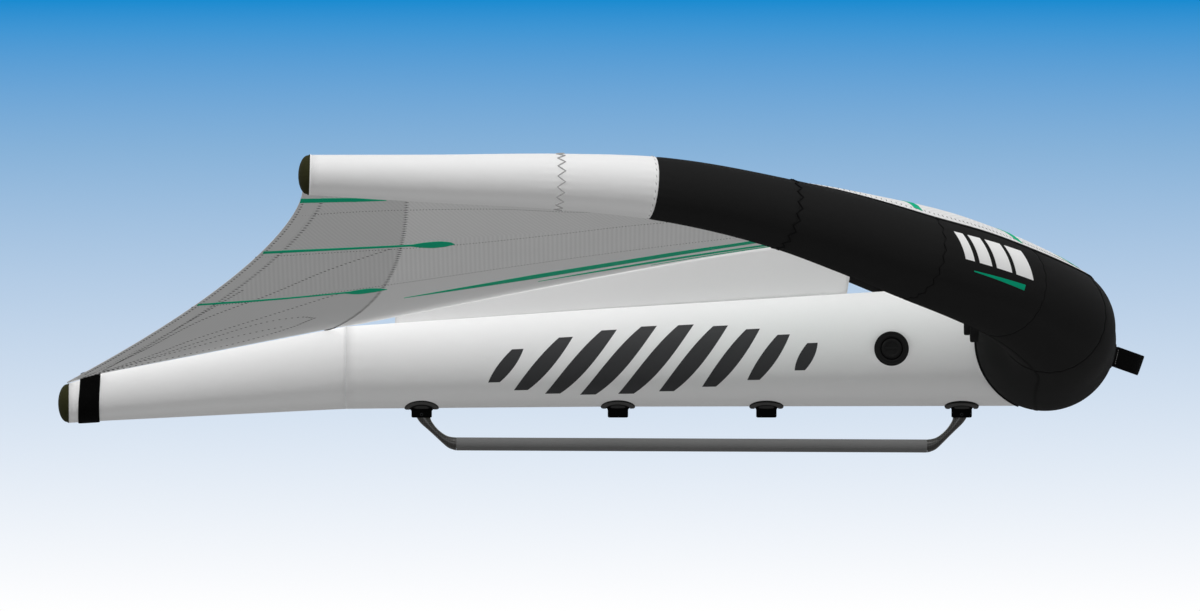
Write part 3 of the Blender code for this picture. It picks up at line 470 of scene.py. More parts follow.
# %% The leading edge's axis
NOSE, TIP = np.array([0.692, 0.0, 0.204, 0.1375]), np.array([-0.733, 1.400, 0.522, 0.038])
STATION_SHARES = np.array([
    (0.0000, 0.0000, 0.0000, 0.0000), (0.0000, 0.2500, 0.0380, 0.0800), (0.0000, 0.4821, 0.1434, 0.2940),
    (0.0662, 0.6430, 0.3170, 0.4370), (0.1185, 0.7193, 0.4120, 0.4720), (0.1880, 0.7930, 0.5145, 0.5330),
    (0.2727, 0.8560, 0.6430, 0.6130), (0.3652, 0.9070, 0.7660, 0.7000), (0.5363, 0.9714, 0.9190, 0.7780),
    (0.6663, 0.9930, 0.9590, 0.8470), (0.8305, 0.9970, 0.9770, 0.9216), (1.0000, 1.0000, 1.0000, 1.0000)])
SPAN_STEPS = np.array([1, 2, 3, 1, 1, 1, 2, 3, 2, 1, 2])
FINENESS = 10


def curve_through(stations, steps):
    """A cubic curve whose slope at each station is the mean of its two neighbours' slopes, by length."""
    chain = np.vstack([stations[1] * [1, -1, 1, 1], stations, 2 * stations[-1] - stations[-2]])
    spans = np.linalg.norm(np.diff(chain[:, :3], axis=0), axis=1)[:, None]
    slopes = np.diff(chain, axis=0) / spans
    tangents = (slopes[:-1] * spans[1:] + slopes[1:] * spans[:-1]) / (spans[:-1] + spans[1:])
    line = [stations[:1]]
    for i, count in enumerate(steps):
        t = np.linspace(0, 1, count + 1)[1:, None]
        here, there = stations[i], stations[i + 1]
        line.append((2 * t**3 - 3 * t**2 + 1) * here + (t**3 - 2 * t**2 + t) * spans[i + 1] * tangents[i]
                    + (3 * t**2 - 2 * t**3) * there + (t**3 - t**2) * spans[i + 1] * tangents[i + 1])
    return np.vstack(line)


port_line = curve_through(NOSE + STATION_SHARES * (TIP - NOSE), SPAN_STEPS * FINENESS)
tube_line = np.vstack([(port_line * [1, -1, 1, 1])[:0:-1], port_line])
tube_along = heading(tube_line[:, :3])
tube_up = unit(np.array([0, 0, 1]) - tube_along * tube_along[:, 2:])
tube_out = np.cross(tube_along, tube_up)
tube_distance = lengths_along(tube_line[:, :3])
tube_distance -= tube_distance[len(port_line) - 1]
port_distance = tube_distance[len(port_line) - 1:]
station_rings = np.concatenate([[0], np.cumsum(SPAN_STEPS)])
STATION_AT = port_distance[station_rings * FINENESS]
TUBE_END = STATION_AT[-1]
print("half tube", round(TUBE_END, 3), "m; stations at", np.round(STATION_AT, 3))


def on_tube(distance, angle, lift=0.0):
    """The skin at a distance along the tube and an angle from its top towards outboard, and its normal."""
    distance, angle = np.broadcast_arrays(distance, angle)
    line = blend(tube_line, distance, tube_distance)
    up = unit(blend(tube_up, distance, tube_distance))
    out = unit(blend(tube_out, distance, tube_distance))
    normal = np.cos(angle)[..., None] * up + np.sin(angle)[..., None] * out
    return line[..., :3] + normal * (line[..., 3] + lift)[..., None], normal


# %% [markdown]
# A sewn and inflated sleeve isn't a perfect tube. Each ring seam pulls the skin in by about a
# millimetre, and small puckers stand on both sides of it. The rows of the grid crowd together there.
# Eleven sleeves are sewn end to end, and the outermost on each side is white.

# %% The leading-edge sleeves
ROUND = 120
SLEEVE_WALL, SLEEVE_UV_RADIUS = 0.0016, 0.11
PUCKERS, PUCKER_HEIGHT, PUCKER_REACH, SEAM_DEPTH, SEAM_REACH = 24, 0.0004, 0.018, 0.0011, 0.006
HEM_FORWARD, HEM_DEEP, HEM_PROUD, HEM_STEP, OUTER_LAP = 0.010, 0.005, 0.0012, 0.0006, 0.004
SEAM_AT = STATION_AT[[2, 3, 5, 7, 8]] + np.array([0, 0, 0, 0, HEM_FORWARD])
SEAMS = np.concatenate([-SEAM_AT, SEAM_AT])
PATCH_SEAM = STATION_AT[9]
BESIDE_SEAM = both_ways(2, 4, 6, 9, 14, 22)
BESIDE_VALVE = -0.2003 + both_ways(12, 20, 26, 31, 36)
around = circle(ROUND)
around_closed = np.linspace(0, FULL_TURN, ROUND + 1)


def puckers(distance, angle, seams=SEAMS):
    """How far the skin moves: in at a seam, and in small waves beside it that die away."""
    off = np.abs(distance[..., None] - seams).min(axis=-1)
    waves = PUCKER_HEIGHT * np.cos(PUCKERS * angle) * np.exp(-off / PUCKER_REACH)
    return waves - SEAM_DEPTH * np.exp(-((off / SEAM_REACH) ** 2))


def rows_between(start, end, seams, spacing=0.020):
    """Distances from start to end, evenly spaced and closer beside the seams."""
    even = np.linspace(start, end, max(3, int((end - start) / spacing)))
    near = (np.asarray(seams)[:, None] + BESIDE_SEAM).ravel()
    return np.unique(np.concatenate([even, near[(near > start) & (near < end)]]).round(5))


def sleeve(name, node, start, end, look, slot, turned_hem=None):
    """A tube of cloth between two distances; a turned hem stands proud of the next sleeve's edge."""
    seams = np.append(SEAMS, [-PATCH_SEAM, PATCH_SEAM])
    rows = np.append(rows_between(start, end, seams),
                     BESIDE_VALVE[(BESIDE_VALVE > start) & (BESIDE_VALVE < end)])
    if turned_hem is not None:
        rows = np.append(rows, turned_hem + np.sign(turned_hem) * (HEM_DEEP + np.array([0.0, HEM_STEP])))
    rows = np.unique(rows)
    distance, angle = crossed(rows, around)
    lift = puckers(distance, angle, seams)
    if turned_hem is not None:
        lift = lift + HEM_PROUD * (np.abs(distance) < abs(turned_hem) + HEM_DEEP + HEM_STEP / 2)
    uv = crossed_uv(rows, around_closed * SLEEVE_UV_RADIUS)
    made = surface(name, on_tube(distance, angle, lift)[0], look, uv, wrap=True, replaces=[node], slot=slot)
    solid(made, SLEEVE_WALL, -1.0)


ends = [*SEAM_AT, TUBE_END]
sleeve("nose_sleeve", "le_sleeve_nose", -ends[0], ends[0], black_cloth, "black_sailcloth")
for side, side_name in SIDES:
    for part, inner, outer in zip(("shoulder", "quarter", "bend", "outer", "tip"), ends[:-1], ends[1:]):
        start, end = sorted((side * inner, side * (outer + OUTER_LAP * (part == "outer"))))
        if part == "tip":
            kind = (white_cloth, "white_sailcloth", side * inner)
        else:
            kind = (black_cloth, "black_sailcloth")
        sleeve(f"{part}_sleeve_{side_name}", f"le_sleeve_{part}_{side_name}", start, end, *kind)
print("sleeves", 1 + 2 * len(SEAM_AT))

# %% [markdown]
# Threads hold it all together. A zigzag round a seam is one thin tube that follows the skin. A row of
# separate stitches is a row of small eight-sided beads, each stretched along its stitch.


# %% Stitches
def thread(name, path, normals, radius, look):
    """A six-sided tube along a closed line on a surface."""
    side = np.cross(heading(path, True), normals)
    turn = circle(6)[None, :, None]
    points = path[:, None] + radius * (np.cos(turn) * normals[:, None] + np.sin(turn) * side[:, None])
    shell(name, np.vstack([points, points[:1]]), look)


BEAD_FACES = np.array([(0, 2, 4), (2, 1, 4), (1, 3, 4), (3, 0, 4), (2, 0, 5), (1, 2, 5), (3, 1, 5),
                       (0, 3, 5)])


def stitches(name, centres, along, normals, half_size, look):
    """Beads with six corners and eight faces: two ends, two sides, a top and an underside."""
    directions = (along, unit(np.cross(along, normals)), normals)
    points = np.stack([centres + direction * (way * half) for direction, half in zip(directions, half_size)
                       for way in (1, -1)], axis=1)
    faces = np.arange(len(centres))[:, None, None] * 6 + BEAD_FACES
    mesh = mesh_of(name, points.reshape(-1, 3), faces.reshape(-1, 3))
    weld(mesh)
    return piece(name, mesh, look)


def zigzag(name, at, width, pitch, radius, look):
    """A thread round the tube whose distance swings by the width, once each pitch."""
    tube_radius = float(np.interp(at, tube_distance, tube_line[:, 3]))
    count = int(round(FULL_TURN * tube_radius / pitch))
    angle = circle(count * 4)
    distance = at + width * (np.abs(((angle * count / FULL_TURN) % 1.0) * 2 - 1) - 0.5)
    thread(name, *on_tube(distance, angle, puckers(distance, angle) + radius * 0.5), radius, look)


ZIGZAGS = (("nose", SEAM_AT[0], 0.003, 0.024, 0.0009, black_thread),
           ("shoulder", SEAM_AT[1], 0.003, 0.024, 0.0006, black_thread),
           ("quarter", SEAM_AT[2], 0.007, 0.024, 0.0010, black_thread),
           ("bend", SEAM_AT[3], 0.011, 0.024, 0.0016, black_thread),
           ("tip", PATCH_SEAM, 0.014, 0.021, 0.0014, grey_thread))
for side, side_name in SIDES:
    for label, at, *rest in ZIGZAGS:
        zigzag(f"seam_zigzag_{label}_{side_name}", side * at, *rest)
    points, normals = on_tube(side * (TUBE_END - 0.0015), circle(96))
    # A roll at the end of each white tip sleeve: a real hem, made in the whiter print cloth as a painted
    # highlight along the cap's edge.
    thread(f"tip_hem_roll_{side_name}", points, normals, 0.0012, white_print)
    points, normals = on_tube(side * (SEAM_AT[4] + 0.0048), circle(26), 0.0010)
    round_tube = heading(points, True)
    slanted = unit(round_tube + 0.35 * np.cross(normals, round_tube))
    stitches(f"hem_stitches_{side_name}", points, slanted, normals, (0.0042, 0.0010, 0.0009), grey_thread)
print("zigzags", 2 * len(ZIGZAGS))

# %% [markdown]
# The cloth of each sleeve is closed into a tube by one long seam under a tape. It runs along the
# underside, a little towards the back, and one sees it drop to the bottom of the nose.

# %% Tapes that lie on a skin
TAPE_SECTION = ((-1.0, -0.5), (-0.92, 1.0), (0.0, 1.05), (0.92, 1.0), (1.0, -0.5), (0.0, -0.5))
SEAM_TAPE_HALF, SEAM_TAPE_THICK = 0.0030, 0.0006


def tape(name, left, right, normals, thickness, look):
    """A flat strip with rounded edges: its section is six points between a left and a right line."""
    middle, across = (left + right) / 2, (right - left) / 2
    points = np.stack([middle + across * a + normals * (b * thickness) for a, b in TAPE_SECTION], axis=1)
    points = with_poles(points)
    width = float(np.linalg.norm(across, axis=1).max())
    shell(name, points, look, crossed_uv(lengths_along(points[:, 1]), np.linspace(0, 2 * width, 7)))


def underside(distance):
    """The long seam's angle: nearly at the bottom of the nose, further aft along the shoulders."""
    keys = [0, STATION_AT[1], 0.52, STATION_AT[2], STATION_AT[3], TUBE_END]
    return np.radians(np.interp(np.abs(distance), keys, [187.0, 191.5, 197.5, 195.5, 194.0, 190.0]))


def seam_tape(name, start, end, look, steps):
    """A tape along the tube's underside."""
    distance = np.linspace(start, end, steps)
    edge = SEAM_TAPE_HALF / np.interp(distance, tube_distance, tube_line[:, 3])
    middle = underside(distance)
    lift = puckers(distance, middle)
    left, right = (on_tube(distance, middle + way * edge, lift)[0] for way in (-1, 1))
    tape(name, left, right, on_tube(distance, middle)[1], SEAM_TAPE_THICK, look)


seam_tape("long_seam_tape", -SEAM_AT[4], SEAM_AT[4], tape_black, 320)
for side, side_name in SIDES:
    start, end = sorted((side * (SEAM_AT[4] + 0.006), side * (TUBE_END - 0.002)))
    seam_tape(f"long_seam_tape_tip_{side_name}", start, end, tape_white, 160)
print("tape length", round(2 * TUBE_END, 2))

# %% [markdown]
# The bladder is a bag of thin film inside the sleeve. It never shows, but the wing has one in each
# tube, and its form is the sleeve's own, a little smaller.

# %% The leading-edge bladder
BLADDER_IN, BLADDER_SHORT = 0.0035, 0.001
bladder_end = TUBE_END - BLADDER_SHORT
distance, angle = crossed(np.linspace(-bladder_end, bladder_end, 150), circle(48))
shell("long_bladder", with_poles(on_tube(distance, angle, -BLADDER_IN)[0]), film_look,
      replaces=["le_bladder"], slot="bladder_film")

# %% [markdown]
# The strut is a straight, slightly bent cone. It ends at the nose where its skin meets the tube's, so
# each line along it has its own length, found by stepping to the tube a few times.

# %% The strut
STRUT_RINGS = np.array([
    (-1.2188, 0.0819, 0.0380), (-1.1544, 0.0936, 0.0458), (-0.6767, 0.1514, 0.0803),
    (-0.1794, 0.1706, 0.0956), (0.3081, 0.1862, 0.1102)])
front_run = (STRUT_RINGS[-1] - STRUT_RINGS[-2]) / (STRUT_RINGS[-1, 0] - STRUT_RINGS[-2, 0])
STRUT_RINGS = np.vstack([STRUT_RINGS, STRUT_RINGS[-1] + front_run * 0.330])
TAIL_X, KINK_X = STRUT_RINGS[0, 0], STRUT_RINGS[2, 0]
KINK_PUCKERS, KINK_PUCKER_HEIGHT, KINK_PUCKER_REACH, KINK_GAP = 20, 0.0002, 0.02, 0.0002
NEAR_TUBE_X, STEPS_TO_TUBE = 0.60, 8
slopes = np.diff(STRUT_RINGS[:, 1]) / np.diff(STRUT_RINGS[:, 0])
SLOPE_X = (STRUT_RINGS[:-1, 0] + STRUT_RINGS[1:, 0]) / 2


def strut_height_and_radius(x):
    return (np.interp(x, STRUT_RINGS[:, 0], STRUT_RINGS[:, i]) for i in (1, 2))


def on_strut(x, angle, lift=0.0):
    """The strut's skin at x along its axis and an angle from its top towards starboard, and its normal."""
    x, angle = np.broadcast_arrays(x, angle)
    height, radius = strut_height_and_radius(x)
    tilt = np.arctan(np.interp(x, SLOPE_X, slopes))
    cos, sin = np.cos(angle), np.sin(angle)
    normal = np.stack([-np.sin(tilt) * cos, -sin, np.cos(tilt) * cos], axis=-1)
    skin = np.stack([x, -radius * sin, height + radius / np.cos(tilt) * cos], axis=-1)
    return skin + normal * np.asarray(lift)[..., None], normal


def tube_at_side(y):
    """The tube's centre in x and z, and its radius, at a distance to the side."""
    return (np.interp(np.abs(y), port_line[:, 1], port_line[:, i]) for i in (0, 2, 3))


def tube_rear_x(y, z):
    """Where the leading edge's rear skin is, near the centre, at a height and a distance to the side."""
    centre_x, centre_z, radius = tube_at_side(y)
    return centre_x - np.sqrt(np.maximum(radius**2 - (z - centre_z) ** 2, 1e-6))


def strut_end(angle):
    """The x at which each line of the strut meets the tube."""
    x = np.full_like(angle, NEAR_TUBE_X)
    for _ in range(STEPS_TO_TUBE):
        skin, _ = on_strut(x, angle)
        x = x + tube_rear_x(skin[..., 1], skin[..., 2]) - skin[..., 0]
    return x


def strut_sleeve(name, node, start, end, rows):
    """A tube of cloth from start to end, which may differ for each line."""
    angle = np.broadcast_to(around, (rows, ROUND))
    x = np.broadcast_to(start + (end - start) * np.linspace(0, 1, rows)[:, None] ** 0.9, angle.shape)
    fade = np.exp(-np.abs(x - KINK_X) / KINK_PUCKER_REACH)
    points, _ = on_strut(x, angle, KINK_PUCKER_HEIGHT * np.cos(KINK_PUCKERS * angle) * fade)
    uv = np.stack([np.hstack([x, x[:, :1]]), np.broadcast_to(around_closed * 0.09, (rows, ROUND + 1))], -1)
    made = surface(name, points, white_cloth, uv, wrap=True, replaces=[node], slot="white_sailcloth")
    solid(made, SLEEVE_WALL, -1.0)


strut_sleeve("tail_strut_sleeve", "strut_sleeve_tail", TAIL_X, KINK_X - KINK_GAP, 60)
strut_sleeve("front_strut_sleeve", "strut_sleeve_front", KINK_X + KINK_GAP, strut_end(around)[None, :], 90)

joint, _ = on_strut(strut_end(circle(160)) - 0.002, circle(160))
joint_normal = on_strut(strut_end(circle(160)), circle(160))[1] - np.array([0.8, 0, 0])
thread("strut_joint_cord", joint, unit(joint_normal), 0.0022, tape_black)
kink, kink_normal = on_strut(KINK_X, circle(72), 0.0001)
stitches("strut_seam_stitches", kink, heading(kink, True), kink_normal, (0.0022, 0.0004, 0.0003), white_cloth)

x, angle = crossed(np.linspace(TAIL_X + BLADDER_SHORT, 0.585, 60), circle(48))
shell("short_bladder", with_poles(on_strut(x, angle, -BLADDER_IN)[0]), film_look,
      replaces=["strut_bladder"], slot="bladder_film")
print("strut meets the tube at x", np.round([strut_end(around).min(), strut_end(around).max()], 3))

# %% [markdown]
# The tubes end in domed caps with a small rolled lip. A cap is a profile turned round the tube's
# axis: a lip, a step in, and a quarter ellipse up to the pole.

# %% Turned pieces
UP = np.array([0.0, 0.0, 1.0])


def turned(name, profile, origin, axis, look, count=64, ripple=None, **rest):
    """A closed piece from radius and height points turned about an axis; a ripple moves the radius."""
    profile = np.array(profile)
    axis = unit(np.array(axis, float))
    first = unit(np.cross(axis, UP))
    turn = circle(count)
    radius = profile[:, :1] * np.ones(count)
    if ripple is not None:
        radius = ripple(radius, profile[:, 1:], turn)
    outward = np.cos(turn)[:, None] * first + np.sin(turn)[:, None] * np.cross(axis, first)
    points = np.array(origin) + profile[:, 1, None, None] * axis + radius[..., None] * outward
    shell_uv = crossed_uv(lengths_along(profile), np.linspace(0, 0.2, count + 1))
    return shell(name, points, look, shell_uv, **rest)


CAP_R, CAP_DEPTH, CAP_INSET = 0.038, 0.021, 0.003
quarter = np.linspace(0, math.pi / 2, 16)
cap_lip = CAP_R * np.array([1, 0]) + mm((-3.0, -0.5), (0.4, -0.5), (0.7, 0.6), (0.5, 2.0), (-0.6, 2.6))
cap_dome = np.column_stack([(CAP_R - 0.0008) * np.cos(quarter),
                            CAP_INSET + (CAP_DEPTH - CAP_INSET) * np.sin(quarter)])
quarter = np.linspace(math.pi / 2, 0, 8)
cap_wall = np.column_stack([(CAP_R - CAP_INSET) * np.cos(quarter),
                            (CAP_DEPTH - CAP_INSET) * np.sin(quarter)])
CAP_PROFILE = np.vstack([cap_lip, cap_dome, cap_wall, cap_lip[:1]])
for side, side_name in SIDES:
    flip = np.array([1, side, 1])
    origin = (tube_line[-1, :3] + tube_along[-1] * 0.0003) * flip
    turned(f"tip_dome_{side_name}", CAP_PROFILE, origin, tube_along[-1] * flip, olive_look,
           replaces=[f"tip_cap_{side_name}"], slot="olive_cap")
turned("tail_dome", CAP_PROFILE, (TAIL_X - 0.0003, 0, STRUT_RINGS[0, 1]), (-1, 0, 0), olive_look,
       replaces=["tail_cap"], slot="olive_cap")

# %% [markdown]
# The canopy is one curved sheet. Each fore-and-aft line leaves the trailing edge nearly straight,
# swells a little behind the tube and bends down to where it is sewn on. Near the tail the sheet rests
# on the strut.

# %% The canopy's surface
CANOPY_HALF, CLEARANCE, COLUMNS = 1.3772, 0.0010, 100
TRAIL_TAIL, TRAIL_TIP = np.array([-1.223, 0.1222]), np.array([-0.747, 0.4890])
RISE_POWER, SWEEP_POWER, BEND_POWER = 1.263, 1.5, 8
CENTRE_SLOPE, SLOPE_FALL = 0.200, 0.180
CENTRE_CROWN, SIDE_CROWN, CROWN_POWER, CROWN_FULL_CHORD, CROWN_PEAK = 0.0030, 0.0220, 3.2, 0.6, 0.08192
ARC_CENTRE_X, ARC_SWEEP = -0.716, 0.168


def by_station(*degrees):
    """Angles at every ring of the port half, from one at each station."""
    return np.radians(np.interp(np.arange(len(port_line)) / FINENESS, station_rings, degrees))


port_angles = by_station(30, 30, 30, 27, 25, 22, 12, -20, -65, -105, -125, -145)
WRAP = by_station(6.5, 6.5, 6, 5, 3.5, 2, 0.5, 0, 0, 0, 0, 0)
sewn, _ = on_tube(port_distance, port_angles, 0.0002)
sewn[0, 1] = 0.0


def trailing_edge(y):
    """It rises with y to a power, and sweeps forward quickest at the tail."""
    rise = (y / CANOPY_HALF) ** RISE_POWER
    x = TRAIL_TAIL[0] + (TRAIL_TIP[0] - TRAIL_TAIL[0]) * (1 - np.maximum(1 - rise, 0) ** SWEEP_POWER)
    return x, TRAIL_TAIL[1] + (TRAIL_TIP[1] - TRAIL_TAIL[1]) * rise, rise


def clear_of_strut(points):
    """Lifts the points that are nearer to the strut than the clearance, straight away from its axis."""
    axis = STRUT_RINGS[:, :2] @ np.array([[1, 0, 0], [0, 0, 1]])
    best, push = np.full(points.shape[:-1], np.inf), np.zeros_like(points)
    for first, second, r0, r1 in zip(axis[:-1], axis[1:], STRUT_RINGS[:-1, 2], STRUT_RINGS[1:, 2]):
        run = second - first
        share = np.clip((points - first) @ run / (run @ run), 0, 1)
        away = points - first - share[..., None] * run
        off = np.linalg.norm(away, axis=-1) - (r0 + (r1 - r0) * share)
        push = np.where((off < best)[..., None], unit(away + 1e-9), push)
        best = np.minimum(off, best)
    short = np.maximum(CLEARANCE - best, 0.0) * (points[..., 0] > TAIL_X)
    return points + push * short[..., None]


def canopy_at(edge_x, y, edge_z, share):
    """Points of the canopy: the trailing edge at share 0, the sewn edge at share 1."""
    x0, z0, rise = trailing_edge(y)
    chord = edge_x - x0
    slope = CENTRE_SLOPE - SLOPE_FALL * rise
    bend = (edge_z - z0 - slope * chord) * share**BEND_POWER
    late = np.maximum(0.0, share * 2 - 1)
    crown = CENTRE_CROWN + SIDE_CROWN * np.sin(math.pi * (y / CANOPY_HALF) ** CROWN_POWER)
    crown = crown * np.minimum(1.0, chord / CROWN_FULL_CHORD)
    z = z0 + slope * chord * share + bend + crown * late**4 * (1 - late) / CROWN_PEAK
    return clear_of_strut(np.stack([x0 + chord * share, y * np.ones_like(z), z], axis=-1))


def canopy_over(x, y):
    """The canopy's point above a place in plan; y may be to either side."""
    x, y = np.broadcast_arrays(np.asarray(x, float), np.asarray(y, float))
    edge = blend(sewn, np.abs(y), sewn[:, 1])
    x0 = trailing_edge(np.abs(y))[0]
    share = np.clip((x - x0) / (edge[..., 0] - x0), 0, 1)
    point = canopy_at(edge[..., 0], np.abs(y), edge[..., 2], share)
    point[..., 1] *= np.where(y < 0, -1.0, 1.0)
    return point


def reinforcement_x(y):
    """Where the heavier cloth of the trailing edge ends."""
    return ARC_CENTRE_X + ARC_SWEEP * (1 - (1 - np.abs(y) / CANOPY_HALF) ** 2)


share = 1 - (1 - np.linspace(0, 1, COLUMNS)) ** 1.6
every = sewn[::2]
half = canopy_at(every[:, :1], every[:, 1:2], every[:, 2:], share[None, :])
wrap_angle = port_angles[::2, None] + WRAP[::2, None] * np.linspace(0, 1, 6)[None, 1:]
lap, _ = on_tube(port_distance[::2, None], wrap_angle, 0.0010)
lap[0, :, 1] = 0.0
half = np.concatenate([half, lap], axis=1)
sheet_points = np.vstack([(half * [1, -1, 1])[:0:-1], half])

# %% [markdown]
# The panels of the canopy are cut so that their threads lie along the load, so the faint ripstop
# lines run another way in each. The tone and the lines are worked out from the place on the wing:
# which panel it is in, and whether it is in the heavier cloth behind the stitched arc.

# %% The canopy's cloth
INNER_SEAM_Y, MID_SEAM_Y, OUTER_SEAM_Y = 0.669, 1.017, 1.242


def canopy_cloth():
    """Ripstop lines by panel, a darker tone aft of the arc, and a fine weave over all."""
    look = Look("pale_ripstop", 0.75, 0.10)
    place = look.place()
    x, y, _ = look.split(place)
    out = y.abs()
    aft = look.stored("aft_of_arc").rise(-0.001, 0.001)
    in_outer = out.above(OUTER_SEAM_Y)
    in_mid = out.above(MID_SEAM_Y) * (1.0 - in_outer)
    in_inner = out.above(INNER_SEAM_Y) * (1.0 - out.above(MID_SEAM_Y))
    in_centre = 1.0 - out.above(INNER_SEAM_Y)

    def wave(term, pitch):
        return (term * (FULL_TURN / pitch)).sin()

    lines = (wave(x + out * 0.33, 0.0086) * (in_mid + in_outer) + wave(x, 0.0088) * in_inner
             + wave(x - out * 0.2, 0.0060) * in_centre * 0.35)
    cloud = look.noise(place, 4.0, 4.0)
    weave = wave(x, THREAD_PITCH) * wave(y, THREAD_PITCH)
    look.paint(PALE, (1.0 - aft * 0.16) * (1.0 - lines * 0.045) * (cloud * 0.05 + 0.975))
    crease = look.noise(place, 1.6, 5.0, (0.6, 2.2, 1.0))
    return look.bump(lines * 0.00012 + weave * 0.00008 + crease * 0.0012, 1.0, 0.6)


def store(made, name, values):
    """Keeps a number for each point of a piece, for its look to read."""
    kept = made.data.attributes.new(name, "FLOAT", "POINT")
    kept.data.foreach_set("value", values.astype(np.float32).ravel())


canopy_nodes = [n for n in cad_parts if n.startswith("canopy_")]
canopy = surface("canopy", sheet_points, canopy_cloth(), sheet_points[..., [1, 0]], sharp=None,
                 replaces=canopy_nodes, slot="grey_ripstop")
store(canopy, "aft_of_arc", reinforcement_x(sheet_points[..., 1]) - sheet_points[..., 0])
solid(canopy, 0.0010)

# %% [markdown]
# The trailing edge is finished with a folded tape, which thickens the edge and keeps it from
# fluttering. It wraps the sheet on both faces.

# %% The hem
HEM = 0.038
hem_y = sheet_points[:, 0, 1]
out_y = np.abs(hem_y)
hem_columns = np.linspace(0, 1, 7)
edge = blend(sewn, out_y, sewn[:, 1])
reach = np.minimum(HEM / (edge[:, 0] - trailing_edge(out_y)[0]), 0.35)[:, None] * hem_columns[None, :]
hem_points = canopy_at(edge[:, :1], out_y[:, None], edge[:, 2:], reach)
hem_points[..., 1] *= np.where(hem_y < 0, -1.0, 1.0)[:, None]
far = lengths_along(hem_points[:, 0])
hem = surface("trailing_hem", hem_points, hem_look, crossed_uv(far, hem_columns * HEM), sharp=None,
              replaces=["hem_tape_port", "hem_tape_starboard"], slot="edge_sailcloth")
solid(hem, 0.0018)
print("trailing edge", round(float(far[-1]), 2), "m")

# %% [markdown]
# On the canopy lie rows of stitches: a close ladder along the hem and along the arc of the heavier
# cloth, single lines along the panel seams, and dotted rays that spread the load from the tail. Each
# row follows a line drawn in plan, and is laid on the sheet from there.


# %% Stitching on the canopy
def smooth_line(points, count):
    """A line of even steps through a few points in plan, by cubic curves between them."""
    points = np.array(points, float)
    chain = np.vstack([2 * points[0] - points[1], points, 2 * points[-1] - points[-2]])
    t = np.linspace(0, 1, 24, endpoint=False)[:, None]
    out = [0.5 * (2 * p1 + (p2 - p0) * t + (2 * p0 - 5 * p1 + 4 * p2 - p3) * t**2
                  + (3 * p1 - p0 - 3 * p2 + p3) * t**3)
           for p0, p1, p2, p3 in zip(chain[:-3], chain[1:-2], chain[2:-1], chain[3:])]
    out = np.vstack([*out, points[-1:]])
    far = lengths_along(out)
    return blend(out, np.linspace(0, far[-1], count), far)


def canopy_normals(plan, step=0.004):
    """The sheet's upward normal above points in plan, from its slope."""
    x, y = plan.T
    along = canopy_over(x + step, y) - canopy_over(x - step, y)
    return unit(np.cross(along, canopy_over(x, y + step) - canopy_over(x, y - step)))


def canopy_row(name, line, pitch, half_size, look, crosswise):
    """Stitches along a line in plan, on both sides of the wing; crosswise turns them into a ladder."""
    plan = smooth_line(line, max(2, int(lengths_along(np.array(line, float))[-1] / pitch)))
    both = []
    for side, _ in SIDES:
        flat = plan * [1, side]
        points, normals = canopy_over(*flat.T), canopy_normals(flat)
        along = heading(points)
        both.append((points, unit(np.cross(normals, along)) if crosswise else along, normals))
    return stitches(name, *(np.vstack(parts) for parts in zip(*both)), half_size, look)


hem_row_y = np.linspace(0.12, 1.325, 60)
hem_x = trailing_edge(hem_row_y)[0]
arc_y = np.linspace(0.0, 1.315, 60)
sewn_line = sewn[station_rings[1] * FINENESS:station_rings[9] * FINENESS:6, :2]
sewn_line = sewn_line - heading(sewn_line)[:, ::-1] * [0.009, -0.009]
LADDERS = (
    ("hem_ladder", np.column_stack([hem_x + HEM + 0.004, hem_row_y]), 0.0145, (0.0085, 0.0040, 0.0013)),
    ("edge_stitches", np.column_stack([hem_x + 0.0065, hem_row_y]), 0.0145, (0.0050, 0.0030, 0.0022)),
    ("arc_ladder", np.column_stack([reinforcement_x(arc_y), arc_y]), 0.0160, (0.0090, 0.0045, 0.0013)),
    ("sewn_ladder", sewn_line, 0.0110, (0.0060, 0.0018, 0.0013)))
SEAM_LINES = {
    "inner": mm((-967, 669), (-766, 640), (-543, 645), (-297, 675), (-59, 700), (300, 720), (560, 735)),
    "mid": mm((-840, 996), (-688, 985), (-459, 965), (-258, 985), (-115, 1015), (100, 1030), (330, 1035)),
    "outer": mm((-760, 1243), (-647, 1252), (-544, 1250), (-374, 1230), (-200, 1170), (0, 1150))}
RAYS = {
    "outer": mm((-1190, 60), (-1075, 293), (-960, 528), (-816, 700), (-707, 848), (-584, 975)),
    "edge": mm((-1185, 75), (-1060, 370), (-950, 600), (-870, 760)),
    "mid": mm((-1188, 50), (-1056, 215), (-962, 345), (-803, 500), (-681, 622)),
    "inner": mm((-1175, 62), (-1050, 185), (-958, 290), (-843, 400), (-764, 400), (-735, 350)),
    "lens": mm((-735, 350), (-790, 250), (-880, 160), (-1000, 115), (-1110, 85)),
    "low": mm((-1140, 85), (-1020, 190), (-900, 270), (-800, 300))}
canopy_rows = [canopy_row(*row, dark_thread, True) for row in LADDERS]
for lines, prefix, pitch, half_size in ((SEAM_LINES, "panel_seam", 0.0060, (0.0027, 0.0032, 0.0013)),
                                        (RAYS, "clew_ray", 0.0118, (0.0042, 0.0065, 0.0013))):
    for label, line in lines.items():
        canopy_rows.append(canopy_row(f"{prefix}_{label}", line, pitch, half_size, seam_thread, False))
print("stitch rows", len(canopy_rows))

# %% [markdown]
# Slim teal stripes of insignia cloth are laid into the sheet, and show on both faces: three that run
# in from the trailing edge, two of them to a teardrop, and a plain fan of tapering bars along the
# centre. They are narrow ribbons a little thicker than the sheet, drawn in plan.

# %% Stripes on the canopy
RIBBON_HALF_THICK = 0.0013


def sewn_y(x):
    """How far out the canopy reaches at x, a centimetre short of the tube, all in millimetres."""
    return 1000 * float(np.interp(-x / 1000, -sewn[:, 0], sewn[:, 1])) - 10


